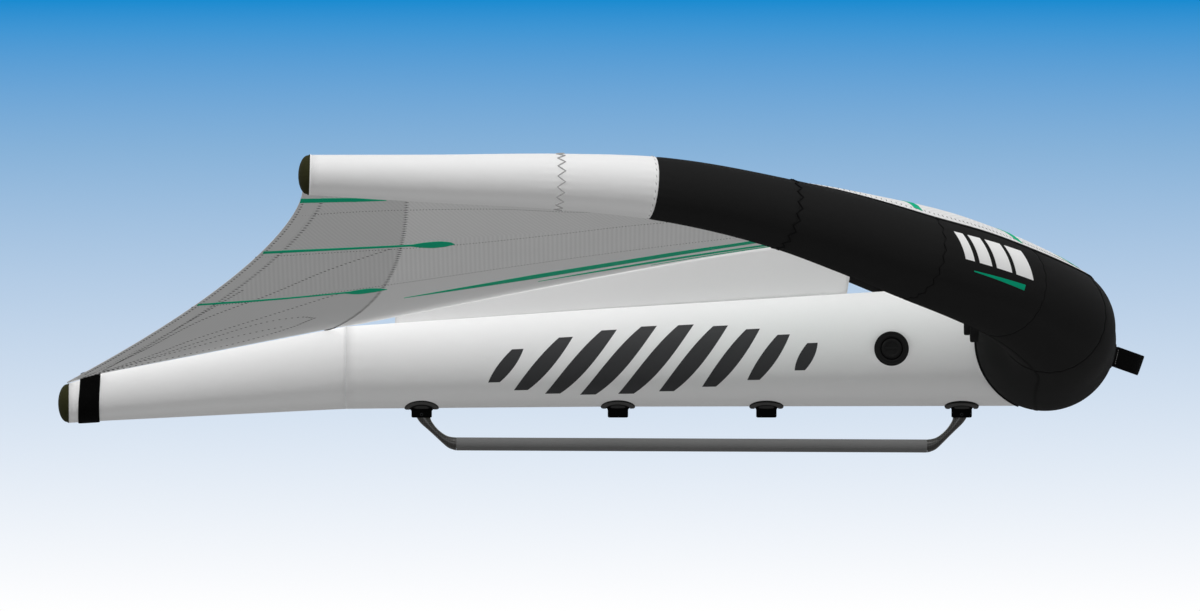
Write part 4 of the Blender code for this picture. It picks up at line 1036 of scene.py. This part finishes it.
def canopy_ribbon(name, line, half_widths):
    """A closed ribbon along a line in plan, with its half width at each of the line's points."""
    line = mm(*line)
    plan = smooth_line(line, 60)
    far, here = (lengths_along(p) / lengths_along(p)[-1] for p in (line, plan))
    side = heading(plan)[:, ::-1] * [-1, 1] * np.interp(here, far, mm(*half_widths))[:, None]
    made = []
    for flip, side_name in SIDES:
        flats = [(plan + side * way) * [1, flip] for way in (-1.0, 0.0, 1.0)]
        middles = [canopy_over(*flat.T) for flat in flats]
        lifts = [canopy_normals(flat) * RIBBON_HALF_THICK for flat in flats]
        tops, bottoms = ([m + way * lift for m, lift in zip(middles, lifts)] for way in (1, -1))
        points = with_poles(np.stack([*tops, *bottoms[::-1]], axis=1))
        uv = crossed_uv(lengths_along(points[:, 1]), np.linspace(0, 0.02, 7))
        made.append(shell(f"{name}_{side_name}", points, teal_print, uv))
    return made


RIBBONS = {
    "stripe_outer": ([(-752, 1331), (-667, 1328), (-645.5, 1326), (-587, 1318)], [12, 11, 10.5, 1]),
    "stripe_mid": ([(-826, 1026), (-685, 1010), (-546, 993), (-539, 992), (-518, 988), (-493, 982),
                    (-472, 976), (-459, 972)], [8, 6.8, 6.8, 8, 20, 26, 18, 1.5]),
    "stripe_inner": ([(-957, 689), (-803, 647), (-681, 622), (-668, 618), (-650, 612), (-633, 606),
                      (-610, 598), (-592, 592)], [7, 6, 6, 8, 21, 26, 17, 1.5]),
    "fan_bar_long": ([(-560, 440), (-300, 455), (-50, 500), (200, 630), (430, sewn_y(430))],
                     [1, 40, 44, 28, 9]),
    "fan_bar_middle": ([(-300, 330), (-80, 345), (150, 375), (400, 450), (625, sewn_y(625))],
                       [1, 34, 38, 24, 9]),
    "fan_bar_short": ([(-80, 220), (100, 232), (280, 250), (500, 290), (735, sewn_y(735) - 18)],
                      [1, 28, 32, 22, 10])}
stripes = [made for label, (line, widths) in RIBBONS.items() for made in canopy_ribbon(label, line, widths)]
print("stripes", len(stripes))

# %% [markdown]
# Where the canopy meets the tube a narrow tape covers its raw edge, with a fine row of ticks.

# %% The joint between canopy and tube
TICK_PITCH, TICK_MARGIN, TICK_HALF_SIZE = 0.0065, 0.004, (0.0032, 0.0010, 0.0010)
for side, side_name in SIDES:
    for label, first, last, look, tick in (("black", 0, 8, tape_black, black_thread),
                                           ("white", 8, 11, tape_white, white_thread)):
        span = slice(station_rings[first] * FINENESS, station_rings[last] * FINENESS + 1)
        distance, radius = port_distance[span] * side, port_line[span, 3]
        angle = (port_angles + WRAP)[span]
        left, right = (on_tube(distance, angle + edge / radius, 0.0004)[0] for edge in (-0.0015, 0.0085))
        middle, normals = on_tube(distance, angle + 0.0035 / radius, 0.0012)
        tape(f"joint_tape_{label}_{side_name}", left, right, normals, 0.0008, look)
        far = lengths_along(middle)
        at = np.linspace(TICK_MARGIN, far[-1] - TICK_MARGIN, int(far[-1] / TICK_PITCH))
        centres, lifted = blend(middle, at, far), unit(blend(normals, at, far))
        across = unit(np.cross(lifted, heading(centres)))
        stitches(f"joint_ticks_{label}_{side_name}", centres, across, lifted, TICK_HALF_SIZE, tick)

# %% [markdown]
# A flat web of cloth stands on the strut in the centre plane and holds the canopy above it. It is cut
# straight at the front, sewn along the strut and taped along the canopy.

# %% The web
WEB_AFT, WEB_FRONT_LOW, WEB_FRONT_HIGH, WEB_IN = -0.5805, 0.304, 0.322, 0.0003
lower = on_strut(np.linspace(WEB_AFT, WEB_FRONT_LOW, 80), 0.0, -WEB_IN)[0]
upper = canopy_over(np.linspace(WEB_AFT, WEB_FRONT_HIGH, 80), 0.0) - [0, 0, WEB_IN]
rise = np.linspace(0, 1, 16)[None, :, None]
web_points = lower[:, None] * (1 - rise) + upper[:, None] * rise
web_points[..., 1] = 0.0004 * np.sin(web_points[..., 0] * 9.0) * np.sin(math.pi * rise[..., 0])
web = surface("web", web_points, web_look, web_points[..., [0, 2]], sharp=None, replaces=["strut_web"],
              slot="web_cloth")
solid(web, 0.0010)
heights = web_points[:, -1, 2] - web_points[:, 0, 2]
web_area = float(np.abs(np.gradient(web_points[:, 0, 0]) * heights).sum())
for label, share in (("foot", 0.05), ("head", 0.955)):
    line = (lower * (1 - share) + upper * share)[4:]
    centres = blend(line, np.linspace(0, lengths_along(line)[-1], 190), lengths_along(line))
    flat = np.broadcast_to([0.0, -1.0, 0.0], centres.shape)
    stitches(f"web_stitches_{label}", centres, heading(centres), flat, (0.0016, 0.0004, 0.0008),
                             web_thread)

# %% [markdown]
# A webbing strap goes round the strut's tail and over the clew of the canopy, and holds them
# together. Its section is flat with rolled edges.


# %% Straps
def power_wave(wave, power):
    """A sine or cosine to a power below 1, which squares it up, with its sign kept."""
    return np.sign(wave) * np.abs(wave) ** power


def strap(name, path, width_direction, out, half_width, thickness, look, ring=False, **rest):
    """A flat strap along a path: a rounded section spanned by its width and its outward direction."""
    turn = circle(20)
    flat = power_wave(np.cos(turn), 0.35) * half_width
    tall = power_wave(np.sin(turn), 0.8) * thickness / 2
    points = path[:, None] + width_direction[:, None] * flat[:, None] + out[:, None] * tall[:, None]
    points = np.vstack([points, points[:1]]) if ring else with_poles(points)
    shell(name, points, look, crossed_uv(lengths_along(points[:, 0]), np.append(flat, flat[0])), **rest)


BAND_HALF, BAND_THICK, BAND_OFF, BAND_AFT = 0.0210, 0.0022, 0.0016, 0.0180
OVER_CLEW, CLEW_ANGLE, BAND_LEAN = 0.0100, 0.85, 0.0060
angle = circle(96)
over_clew = OVER_CLEW * np.exp(-((np.minimum(angle, FULL_TURN - angle) / CLEW_ANGLE) ** 4))
band_x = TAIL_X + BAND_AFT + BAND_HALF + BAND_LEAN * (0.5 + 0.5 * np.cos(angle)) ** 3
aft_edge, fore_edge = (on_strut(band_x + way * BAND_HALF, angle, BAND_OFF + over_clew)[0]
                       for way in (-1, 1))
strap("tail_strap", (aft_edge + fore_edge) / 2, unit(fore_edge - aft_edge), on_strut(band_x, angle)[1],
      BAND_HALF, BAND_THICK, webbing_look, True, replaces=["tail_band"], slot="black_webbing")

# %% [markdown]
# The nose handle is a loop of webbing to carry the wing by. It is sewn down flat at both ends to a
# doubled patch on the nose, and stands out in the middle.

# %% The nose handle and its patch
HANDLE_TILT, HANDLE_PLACE = math.radians(19.5), math.radians(13.0)
HANDLE_HALF, HANDLE_FOOT, HANDLE_REACH, HANDLE_WIDTH = 0.100, 0.032, 0.053, 0.040
WEBBING, PATCH_PROUD, PATCH_MARGIN = 0.0024, 0.0016, 0.005
BOX_HALF = np.array([0.012, 0.014])
foot = HANDLE_HALF - HANDLE_FOOT
foot_x, foot_z, foot_r = (float(value) for value in tube_at_side(foot))
face = np.array([math.cos(HANDLE_PLACE), 0.0, -math.sin(HANDLE_PLACE)])
down = np.array([math.sin(HANDLE_PLACE), 0.0, math.cos(HANDLE_PLACE)])
base = np.array([foot_x, 0.0, foot_z]) + face * (foot_r + PATCH_PROUD + 0.0006 + WEBBING / 2)
loop = [(0.00, HANDLE_HALF), (0.00, (foot + HANDLE_HALF) / 2), (0.01, foot), (0.35, foot * 0.86),
        (0.72, foot * 0.62), (0.93, foot * 0.33), (1.00, 0.0)]
loop += [(reach, -across) for reach, across in loop[-2::-1]]
reach, across = smooth_line(np.array(loop) * [HANDLE_REACH, 1.0], 90).T
reach = np.clip(reach / HANDLE_REACH, 0.0, 1.0)
turn = HANDLE_PLACE + (HANDLE_TILT - HANDLE_PLACE) * reach
out = np.array([math.cos(HANDLE_TILT), 0.0, -math.sin(HANDLE_TILT)])
none = np.zeros(90)
handle_path = base + out * (HANDLE_REACH * reach)[:, None] + np.column_stack([none, across, none])
wide = np.column_stack([np.sin(turn), none, np.cos(turn)])
thick = unit(np.cross(wide, heading(handle_path)))
strap("carry_loop", handle_path, wide, thick, HANDLE_WIDTH / 2, WEBBING, webbing_look,
      replaces=["nose_handle"], slot="black_webbing")

corners = np.array([(-1, -1), (1, -1), (1, 1), (-1, 1)])
plane = np.array([[0.0, 1.0, 0.0], down])
box = []
share = np.linspace(0.05, 0.95, 8)[:, None]
for side, _ in SIDES:
    middle = base + face * (WEBBING / 2 + 0.0002) + [0.0, side * (foot + HANDLE_FOOT / 2), 0.0]
    for first, second in ((0, 1), (1, 2), (2, 3), (3, 0), (0, 2), (3, 1)):
        start, run = corners[first] * BOX_HALF, (corners[second] - corners[first]) * BOX_HALF
        spot = middle + (start + run * share) @ plane
        box.append((spot, *(np.broadcast_to(way, spot.shape) for way in (unit(run @ plane), face))))
centres, along, normals = (np.vstack(parts) for parts in zip(*box))
stitches("handle_box_stitches", centres, along, normals, (0.0014, 0.0005, 0.0006), grey_thread)

u, v = crossed(np.linspace(-1, 1, 61), np.linspace(-1, 1, 21))
half_high = (HANDLE_WIDTH / 2 + PATCH_MARGIN) / NOSE[3]
lift = 0.0018 * (1 - np.maximum(np.abs(u), np.abs(v)) ** 24) - 0.0002
points, _ = on_tube(u * (HANDLE_HALF + PATCH_MARGIN), math.pi / 2 + HANDLE_PLACE + v * half_high, lift)
surface("nose_doubler", points, black_cloth, np.stack([u * 0.105, v * 0.025], axis=-1),
        replaces=["nose_patch"], slot="black_sailcloth", sharp=None)

# %% [markdown]
# Four saddle pads are glued under the strut. In plan each is a rounded oval, and its thickness is a
# profile from rim to middle: a rounded rim, a groove, and a raised boss. Below each stands a block
# with a round socket, and the two outer ones hold the boom with a cross bolt.

# %% Saddle pads
MOUNTS = {"rear": -0.5285, "mid_rear": -0.1443, "mid_front": 0.1463, "front": 0.5285}
PAD_HALF, PAD_OFF, BLOCK_OFF = np.array([0.0673, 0.0965]) / 2, 0.0003, 0.0024
PAD_SCALE, PAD_SCALE_PER_METRE, PAD_RIBS, PAD_RIB_HEIGHT = 1.4, 0.95, 36, 0.0003
RIM = np.array([(0.0, 3.6), (0.40, 3.6), (0.46, 3.4), (0.50, 2.2), (0.52, 1.6), (0.66, 1.6), (0.68, 2.2),
                (0.71, 3.0), (0.86, 3.0), (0.92, 2.7), (0.96, 2.0), (0.99, 1.2), (1.0, 0.4)]) * [1, 0.001]


def pad_rubber():
    """Moulded dark grey rubber on the rim; painted shade keeps the groove and the rim's foot black, and a
    painted highlight makes the boss paler.
    """
    look = Look("pad_rubber", 0.80, 0.05)
    share = look.stored("share_of_pad")
    fine = look.noise(look.place(), 600.0)
    # Painted shade: the groove inside the rim and the foot outside it stay black, and the rim keeps the
    # rubber's own grey.
    on_rim = share.rise(0.68, 0.74) * (1.0 - share.rise(0.95, 1.02))
    # Painted highlight: the raised boss in the middle is made paler.
    boss_highlight = 1.0 - share.rise(0.44, 0.50)
    look.paint_between(on_rim * (fine * 0.4 + 0.7) + boss_highlight * 0.5, grey(0.0040), (0.070, 0.069, 0.068))
    return look.bump(fine, 0.0008, 0.5)


def under_strut(x, y, lift):
    """The strut's underside at a place in plan, moved outwards by the lift."""
    angle = math.pi + np.arcsin(np.clip(y / np.interp(x, STRUT_RINGS[:, 0], STRUT_RINGS[:, 2]), -1, 1))
    skin, normal = on_strut(x, angle, PAD_OFF)
    return skin + normal * np.asarray(lift)[..., None]


pad_look = pad_rubber()
ring = circle(96)
share = np.concatenate([np.linspace(0, 0.58, 6), np.linspace(0.6, 1.0, 26)])[:, None]
ribs = PAD_RIB_HEIGHT * np.cos(PAD_RIBS * ring) * (share < 0.66) * (share > 0.52)
for label, mount_x in MOUNTS.items():
    x = mount_x + PAD_HALF[0] * share * np.cos(ring)
    y = PAD_HALF[1] * share * power_wave(np.sin(ring), 0.5)
    scale = PAD_SCALE + PAD_SCALE_PER_METRE * mount_x
    height = (np.interp(share, RIM[:, 0], RIM[:, 1]) + ribs) * scale
    points = np.vstack([under_strut(x, y, height), under_strut(x[::-1], y[::-1], 0.0)])
    plan = np.vstack([np.stack([x, y], -1), np.stack([x, y], -1)[::-1]])
    pad = shell(f"saddle_{label}", points, pad_look, np.hstack([plan, plan[:, :1]]),
                replaces=[f"mount_pad_{label}"], slot="black_rubber")
    places = np.array([vertex.co[:2] for vertex in pad.data.vertices], np.float32)
    off = (places - [mount_x, 0.0]) / PAD_HALF
    store(pad, "share_of_pad", (off[:, 1] ** 4 + off[:, 0] ** 2) ** 0.5)
print("pads", len(MOUNTS))

# %% Mount blocks
BLOCK_HALF, BLOCK_FLARE, BLOCK_BOTTOM = np.array([0.0200, 0.0170]), 0.0025, 0.0536
SOCKET_R, SOCKET_DEPTH = 0.0093, 0.0125
# The share of the way down, and how far out the side stands there in shares of the flare.
BLOCK_SIDES = ((0.05, 0.80), (0.11, 0.35), (0.18, 0.08), (0.26, 0.0), (0.55, 0.0), (0.84, 0.0),
               (0.90, -0.08), (0.95, -0.30), (0.985, -0.70), (1.0, -1.20))
turn = circle(88) + 0.01
outline = np.column_stack([power_wave(np.cos(turn), 0.28), power_wave(np.sin(turn), 0.28)])
circle_plan = np.column_stack([np.cos(turn), np.sin(turn), np.zeros(88)])
for label, mount_x in MOUNTS.items():
    rows = []
    for size in (0.05, 0.6, 1.0):
        px, py = (outline * (BLOCK_HALF + BLOCK_FLARE) * size).T
        rows.append(under_strut(mount_x + px, py, BLOCK_OFF))
    for share, flare in BLOCK_SIDES:
        px, py = (outline * (BLOCK_HALF + BLOCK_FLARE * flare)).T
        start = under_strut(mount_x + px, py, BLOCK_OFF)[:, 2]
        rows.append(np.column_stack([mount_x + px, py, start + (BLOCK_BOTTOM - start) * share]))
    socket = [mount_x, 0, BLOCK_BOTTOM] + SOCKET_R * circle_plan
    rows += [rows[-1] * 0.45 + socket * 0.55, socket + 0.06 * SOCKET_R * circle_plan,
             socket + [0, 0, 0.0006], socket + [0, 0, SOCKET_DEPTH]]
    shell(f"block_{label}", with_poles(np.array(rows)), plastic_look, sharp=50.0,
          replaces=[f"mount_block_{label}"], slot="black_plastic")


# %% Bolts
def hex_ripple(radius, height, turn):
    """Turns the small inner radii of a bolt head into a hexagon."""
    wedge = (turn + math.pi / 6) % (math.pi / 3) - math.pi / 6
    return np.where(radius < 0.0022, radius / np.cos(wedge) * 0.93, radius * np.ones_like(turn))


BOLT_Z, BOLT_Y = BLOCK_BOTTOM + 0.0060, -BLOCK_HALF[1] + 0.0022
BOLT = mm((0, 0.6), (1.8, 0.6), (1.8, 2.1), (2.1, 2.35), (2.9, 2.3), (3.5, 1.8), (3.6, 1.2), (3.6, 0),
          (2, 0), (2, -31.8), (0, -31.8))
for label in ("rear", "front"):
    turned(f"cross_bolt_{label}", BOLT, (MOUNTS[label], BOLT_Y, BOLT_Z), (0, -1, 0), steel_look, 48,
           hex_ripple, replaces=[f"boom_bolt_{label}"], slot="steel")

# %% [markdown]
# The boom: a carbon tube inside a foam grip, and at each end a curved carbon arm that flattens at its
# neck and swells to meet the grip. The arm's section is an ellipse whose two half sizes change along
# a smooth line.

# %% The boom
GRIP_LENGTH, GRIP_R, ARM_NECK_R, ARM_WIDE, ARM_BORE_R = 0.922, 0.0128, 0.0066, 0.0115, 0.0078
# The share of the way along, the share of the way down, and the share of the swell.
ARM = ((0.05, 0.00, 1.05), (0.20, 0.26, 0.35), (0.41, 0.55, 0.05), (0.64, 0.80, 0.25), (0.83, 0.94, 0.75),
       (1.00, 1.00, 1.00))
SIDEWAYS = np.array([0, 1, 0])


def boom_height(x):
    return -0.0021 * 2 * x / GRIP_LENGTH


def dress(node, look):
    """Gives a node of the frame a look of its own."""
    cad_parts[node].data.materials.clear()
    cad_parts[node].data.materials.append(look)


def boom_arm(label, mount_x):
    """An ellipse carried along the arm's line, from the block's socket to the end of the grip."""
    toward = 1 if mount_x < 0 else -1
    end_x = -toward * GRIP_LENGTH / 2
    top_z = BLOCK_BOTTOM + 0.0002
    path = smooth_line(ARM, 60)
    centre = np.column_stack([mount_x + toward * path[:, 0] * abs(end_x - mount_x), np.zeros(60),
                              top_z - path[:, 1] * (top_z - boom_height(end_x))])
    even = np.linspace(0, 1, 60)
    upright = np.clip(1 - even / 0.25, 0, 1)[:, None] ** 1.5
    along = unit(heading(centre) * (1 - upright) + upright * np.array([0, 0, -1]))
    along[-1] = unit(np.array([toward, 0, boom_height(1) * toward]))
    normal = np.cross(along, SIDEWAYS)
    thick = ARM_NECK_R + np.clip(path[:, 2], 0, 1.1) * (GRIP_R - ARM_NECK_R)
    wide = ARM_WIDE + (GRIP_R - ARM_WIDE) * even
    turn = circle(40)
    cos, sin = np.cos(turn)[:, None], np.sin(turn)[:, None]
    points = (centre[:, None] + thick[:, None, None] * cos * normal[:, None]
              + wide[:, None, None] * sin * SIDEWAYS)
    spigot_top = np.array([mount_x, 0, BLOCK_BOTTOM + SOCKET_DEPTH - 0.0005])
    ring = (SOCKET_R - 0.0004) * np.hstack([cos * normal[0, 0], sin, np.zeros_like(cos)])
    inner = ARM_BORE_R * (cos * normal[-1] + sin * SIDEWAYS)
    end = centre[-1]
    rows = [np.broadcast_to(spigot_top, ring.shape), spigot_top + ring, [mount_x, 0, top_z] + ring, *points,
            end + inner, end + along[-1] * 0.038 + inner,
            np.broadcast_to(end + along[-1] * 0.040, ring.shape)]
    shell(f"carbon_arm_{label}", np.array(rows), carbon_look, sharp=50.0, replaces=[f"boom_arm_{label}"],
          slot="carbon")


boom_arm("rear", MOUNTS["rear"])
boom_arm("front", MOUNTS["front"])
half = GRIP_LENGTH / 2 - 0.0003
grip_end = [(0.0099, 0.0), (GRIP_R - 0.0005, 0.0), (GRIP_R, 0.0007)]
profile = grip_end + [(GRIP_R, h) for h in np.linspace(0.004, 2 * half - 0.004, 60)]
profile += [(r, 2 * half - h) for r, h in grip_end[::-1]] + grip_end[:1]
grip = turned("foam_grip", profile, (-half, 0, boom_height(-half)), (1, 0, boom_height(1)), foam_look,
              replaces=["boom_grip"], slot="grey_foam")
dress("boom_tube", carbon_look)

# %% [markdown]
# The two inflation valves are alike: a wide rubber collar, a threaded insert with a sprung poppet in
# it, and a cap with a dished face and a bar to turn it by. The cap's edge is fluted for the fingers.
# Behind each valve the cloth and the film step back by a centimetre, within the collar, so that the
# poppet has room when it is pushed.

# %% Inflation valves
FLUTES, FLUTE_DEPTH, LID_FACE = 36, 0.00035, 0.0297
ROOM_DEEP, ROOM_R, ROOM_SLOPE, ROOM_REACH = 0.010, 0.0315, 0.0115, 0.05
COLLAR = mm((24.0, 17.6), (24.6, 18.2), (26.2, 18.2), (27.0, 17.6), (28.5, 17.6), (29.5, 18.0),
            (31.8, 17.8), (33.1, 17.0), (33.8, 15.5), (33.8, 4.0), (33.8, -12.0), (22.6, -12.0),
            (22.6, 13.0), (20.0, 13.0), (20.0, 15.0), (22.6, 15.0), (22.6, 17.0), (23.2, 17.6), (24.0, 17.6))
LID = mm((0, 26.7), (10.0, 26.7), (12.2, 27.1), (13.2, 28.7), (14.0, 29.7), (16.5, 29.9), (18.2, 29.5),
         (19.2, 28.5), (19.5, 27.3), (19.5, 26.0), (19.5, 22.5), (19.5, 19.5), (19.0, 18.4), (14.7, 18.4),
         (14.7, 14.5), (12.5, 14.5), (12.5, 24.5), (0, 24.5))


def fluted(radius, height, turn):
    """The edge of the cap waves in and out, and its face doesn't."""
    edge = (radius > 0.0188) & (height > 0.0190) & (height < 0.0290)
    return radius + np.where(edge, FLUTE_DEPTH * np.cos(FLUTES * turn), 0.0)


def make_room(cloth, origin, axis):
    """Sinks the part of a sleeve or bladder that lies behind a valve."""
    mesh = bpy.data.objects[cloth].data
    places = np.array([vertex.co for vertex in mesh.vertices], np.float32)
    off = places - origin
    deep = off @ axis
    radius = np.linalg.norm(off - deep[:, None] * axis, axis=1)
    sink = ROOM_DEEP * np.clip((ROOM_R - radius) / ROOM_SLOPE, 0, 1) * (np.abs(deep) < ROOM_REACH)
    mesh.vertices.foreach_set("co", (places - axis * sink[:, None]).astype(np.float32).ravel())
    mesh.update()
    return int((sink > 0).sum())


def valve(label, origin, axis, cloths):
    """A collar, a lid with its bar, looks for the insert and the poppet, and room behind them."""
    origin, axis = np.array(origin, float), np.array(axis, float)
    turned(f"{label}_valve_flange", COLLAR, origin, axis, rubber_look, 96,
           replaces=[f"{label}_valve_collar"], slot="black_rubber")
    turned(f"{label}_valve_lid", LID, origin, axis, rubber_look, 144, fluted, body=f"{label}_cap",
           replaces=[f"{label}_valve_cap"], slot="black_rubber")
    side = unit(np.cross(axis, UP))
    path = origin + axis * (LID_FACE - 0.0022) + side * np.linspace(-0.0128, 0.0128, 12)[:, None]
    upward, outward = (np.broadcast_to(way, path.shape) for way in (UP, axis))
    strap(f"{label}_lid_bar", path, upward, outward, 0.0025, 0.0030, rubber_look, body=f"{label}_cap")
    for node in ("insert", "poppet"):
        dress(f"{label}_valve_{node}", plastic_look)
    print(label, "valve at", origin.round(4), "points sunk", [make_room(c, origin, axis) for c in cloths])


valve_z, valve_r = (float(value) for value in strut_height_and_radius(0.390))
valve("strut", (0.390, -valve_r, valve_z), (0, -1, 0), ["front_strut_sleeve"])
valve("le", (tube_rear_x(0.200, 0.235), -0.200, 0.235), (-1, 0, 0), ["nose_sleeve", "long_bladder"])

# %% [markdown]
# The prints are plain and generic: slanted dark bars in a lens along the strut, and a short run of
# white bars over a teal line on the black shoulder. Each bar is a thin patch that follows the skin.


# %% Prints on the strut
def patch_between(name, skin, look, rows=14, columns=14, thickness=0.0005):
    """A thin closed patch over a four-cornered field: skin(u, v, lift) gives its points."""
    u, v = crossed(np.linspace(0, 1, rows), np.linspace(0, 1, columns))
    top, under = skin(u, v, thickness), skin(u, v, -0.0002)
    edge = (top + under) / 2
    ends = np.hstack([edge, edge[:, ::-1]])
    points = np.vstack([ends[:1], np.hstack([top, under[:, ::-1]]), ends[-1:]])
    uv = crossed_uv(np.linspace(0, 0.08, rows + 2), np.linspace(0, 0.08, 2 * columns + 1))
    shell(name, points, look, uv)


BARS, LENS_START_X, LENS_LENGTH, BAR_SLANT, BAR_HALF, BAR_SWELL = 9, -0.400, 0.660, 0.060, 0.0135, 0.010
for side, side_name in SIDES:
    for i in range(BARS):
        share = (i + 0.5) / BARS
        tall = math.sin(math.pi * share**0.8) ** 0.8

        def bar(u, v, lift, share=share, tall=tall, side=side):
            """u runs up the bar, v across it; the ends are cut on a slant."""
            height = (u - 0.5) * 2
            angle = math.pi / 2 + 0.10 - height * (0.12 + 0.62 * tall)
            half_wide = (BAR_HALF + BAR_SWELL * tall) * (1 - 0.35 * height**2)
            middle_x = LENS_START_X + LENS_LENGTH * share + BAR_SLANT * tall * height
            return on_strut(middle_x + (v - 0.5) * 2 * half_wide, -side * angle, lift)[0]

        patch_between(f"strut_bar_{i + 1}_{side_name}", bar, grey_print)

# %% Prints on the shoulders
WHITE_BARS = ((0.055, 0.0325), (0.120, 0.0263), (0.175, 0.0200), (0.220, 0.0138))
WHITE_BAR_LEAN, LINE_START, LINE_LENGTH = 0.022, 0.066, 0.140
for side, side_name in SIDES:
    for i, (start, width) in enumerate(WHITE_BARS):

        def shoulder_bar(u, v, lift, start=start, width=width, side=side):
            """u runs round the tube, v along it; the bars lean outboard."""
            distance = STATION_AT[3] + start + v * width * 1.6 + (0.5 - u) * WHITE_BAR_LEAN
            return on_tube(side * distance, math.radians(50) + u * math.radians(36), lift)[0]

        patch_between(f"shoulder_bar_{i + 1}_{side_name}", shoulder_bar, white_print)

    def shoulder_line(u, v, lift, side=side):
        """A slim line below the bars that tapers outboard."""
        angle = math.radians(98) + (u - 0.5) * math.radians(7.0) * (1 - 0.8 * v)
        return on_tube(side * (STATION_AT[3] + LINE_START + v * LINE_LENGTH), angle, lift)[0]

    patch_between(f"shoulder_line_{side_name}", shoulder_line, teal_print, 8, 24)

# %% [markdown]

# %% [markdown]
# Light: an even white sky, and a soft key from above and from the camera's side. Six faint fills, one
# each way along each axis, the key and a weak rim cast no shadow, so that the strut is lit below the
# canopy as between large soft boxes. A weaker sun makes the floor's shadow. What the camera sees
# behind the wing is another matter: a sky that goes from white to blue within the picture's height,
# worked out from the direction of each ray.

# %% Sky
SKY = 0.20
SKY_SPREAD = SENSOR / LENS * FRAME_HIGH / FRAME_WIDE / 2
SKY_STOPS = [(0.00, (1.000, 1.000, 1.000)), (0.035, (0.965, 0.973, 0.991)), (0.264, (0.730, 0.807, 0.905)),
             (0.509, (0.485, 0.624, 0.799)), (0.755, (0.242, 0.445, 0.693)), (0.951, (0.053, 0.305, 0.658)),
             (1.000, (0.010, 0.258, 0.631))]
PALE_BACKDROP = (0.80, 0.85, 0.90, 1.0)
world = bpy.data.worlds.new("studio")
scene.world = world
world.use_nodes = True
world.node_tree.nodes.clear()


def world_node(kind, values, **settings):
    """The outputs of a new node of the world."""
    return add_node(world.node_tree, kind, settings, values).outputs


path = world_node("ShaderNodeLightPath", {})
ray = world_node("ShaderNodeTexCoord", {})["Generated"]
upward = world_node("ShaderNodeSeparateXYZ", {0: ray})[2]
span = {"From Min": -SKY_SPREAD, "From Max": SKY_SPREAD}
height = world_node("ShaderNodeMapRange", {"Value": upward, **span})[0]
ramp = add_node(world.node_tree, "ShaderNodeValToRGB", {}, {"Fac": height})
for place, _ in SKY_STOPS[1:-1]:
    ramp.color_ramp.elements.new(place)
for stop, (place, colour) in zip(ramp.color_ramp.elements, SKY_STOPS):
    stop.position = place
    stop.color = (*colour, 1.0)
mirrored = world_node("ShaderNodeMath", {0: path["Is Glossy Ray"], 1: path["Is Transmission Ray"]},
                      operation="MAXIMUM")[0]
seen_sky = world_node("ShaderNodeBackground", {"Color": ramp.outputs["Color"]})[0]
pale = world_node("ShaderNodeBackground", {"Color": PALE_BACKDROP})[0]
even = world_node("ShaderNodeBackground", {"Color": (1.0, 1.0, 1.0, 1.0), "Strength": SKY})[0]
unseen = world_node("ShaderNodeMixShader", {0: mirrored, 1: even, 2: pale})[0]
all_rays = world_node("ShaderNodeMixShader", {0: path["Is Camera Ray"], 1: unseen, 2: seen_sky})[0]
world_node("ShaderNodeOutputWorld", {"Surface": all_rays})


# %% Suns and floor
def sun(name, strength, direction, angle, shadow):
    """A sun that shines along a direction."""
    data = bpy.data.lights.new(name, "SUN")
    data.energy = strength
    data.angle = math.radians(angle)
    data.use_shadow = shadow
    made = bpy.data.objects.new(name, data)
    made.rotation_euler = Vector(direction).to_track_quat("-Z", "Y").to_euler()
    scene.collection.objects.link(made)


sun("key", 1.95, (0.05, 0.577, -1.0), 20.0, False)
sun("soft_shadow", 0.25, (0.05, 0.30, -1.0), 30.0, True)
sun("rim", 0.15, (0.05, -0.25, -1.0), 10.0, False)
for axis in range(3):
    for way, sign in ((-1.0, "minus"), (1.0, "plus")):
        direction = np.where(np.arange(3) == axis, way, 0.0)
        sun(f"fill_{'xyz'[axis]}_{sign}", 0.35 if direction[2] < 0 else 0.50, direction, 60.0, False)

FLOOR_Z, FLOOR_SEEN, FLOOR_LIT = -0.55, 0.82, 0.25
radii = np.array([0.0, 2.0, 6.0, 14.0])[:, None]
floor_points = np.stack([radii * np.cos(ring), radii * np.sin(ring), np.full((4, 96), FLOOR_Z)], axis=-1)
floor_mesh = wrapped_mesh("floor", floor_points)
weld(floor_mesh, outward=False)
floor = bpy.data.objects.new("floor", floor_mesh)
scene.collection.objects.link(floor)
floor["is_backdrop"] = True
floor_look = Look("floor", 0.95, 0.1)
floor_cloud = floor_look.noise(floor_look.place(), 0.4) * 0.04 + 0.98
floor_seen = floor_look.term("ShaderNodeLightPath", {}, (), "Is Camera Ray")
floor_look.paint((1.0, 1.0, 1.0), (floor_seen * (FLOOR_SEEN - FLOOR_LIT) + FLOOR_LIT) * floor_cloud)
floor_mesh.materials.append(floor_look.material)

# %% The sizes of both models
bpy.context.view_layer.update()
graph = bpy.context.evaluated_depsgraph_get()
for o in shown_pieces():
    mesh = o.evaluated_get(graph).to_mesh()
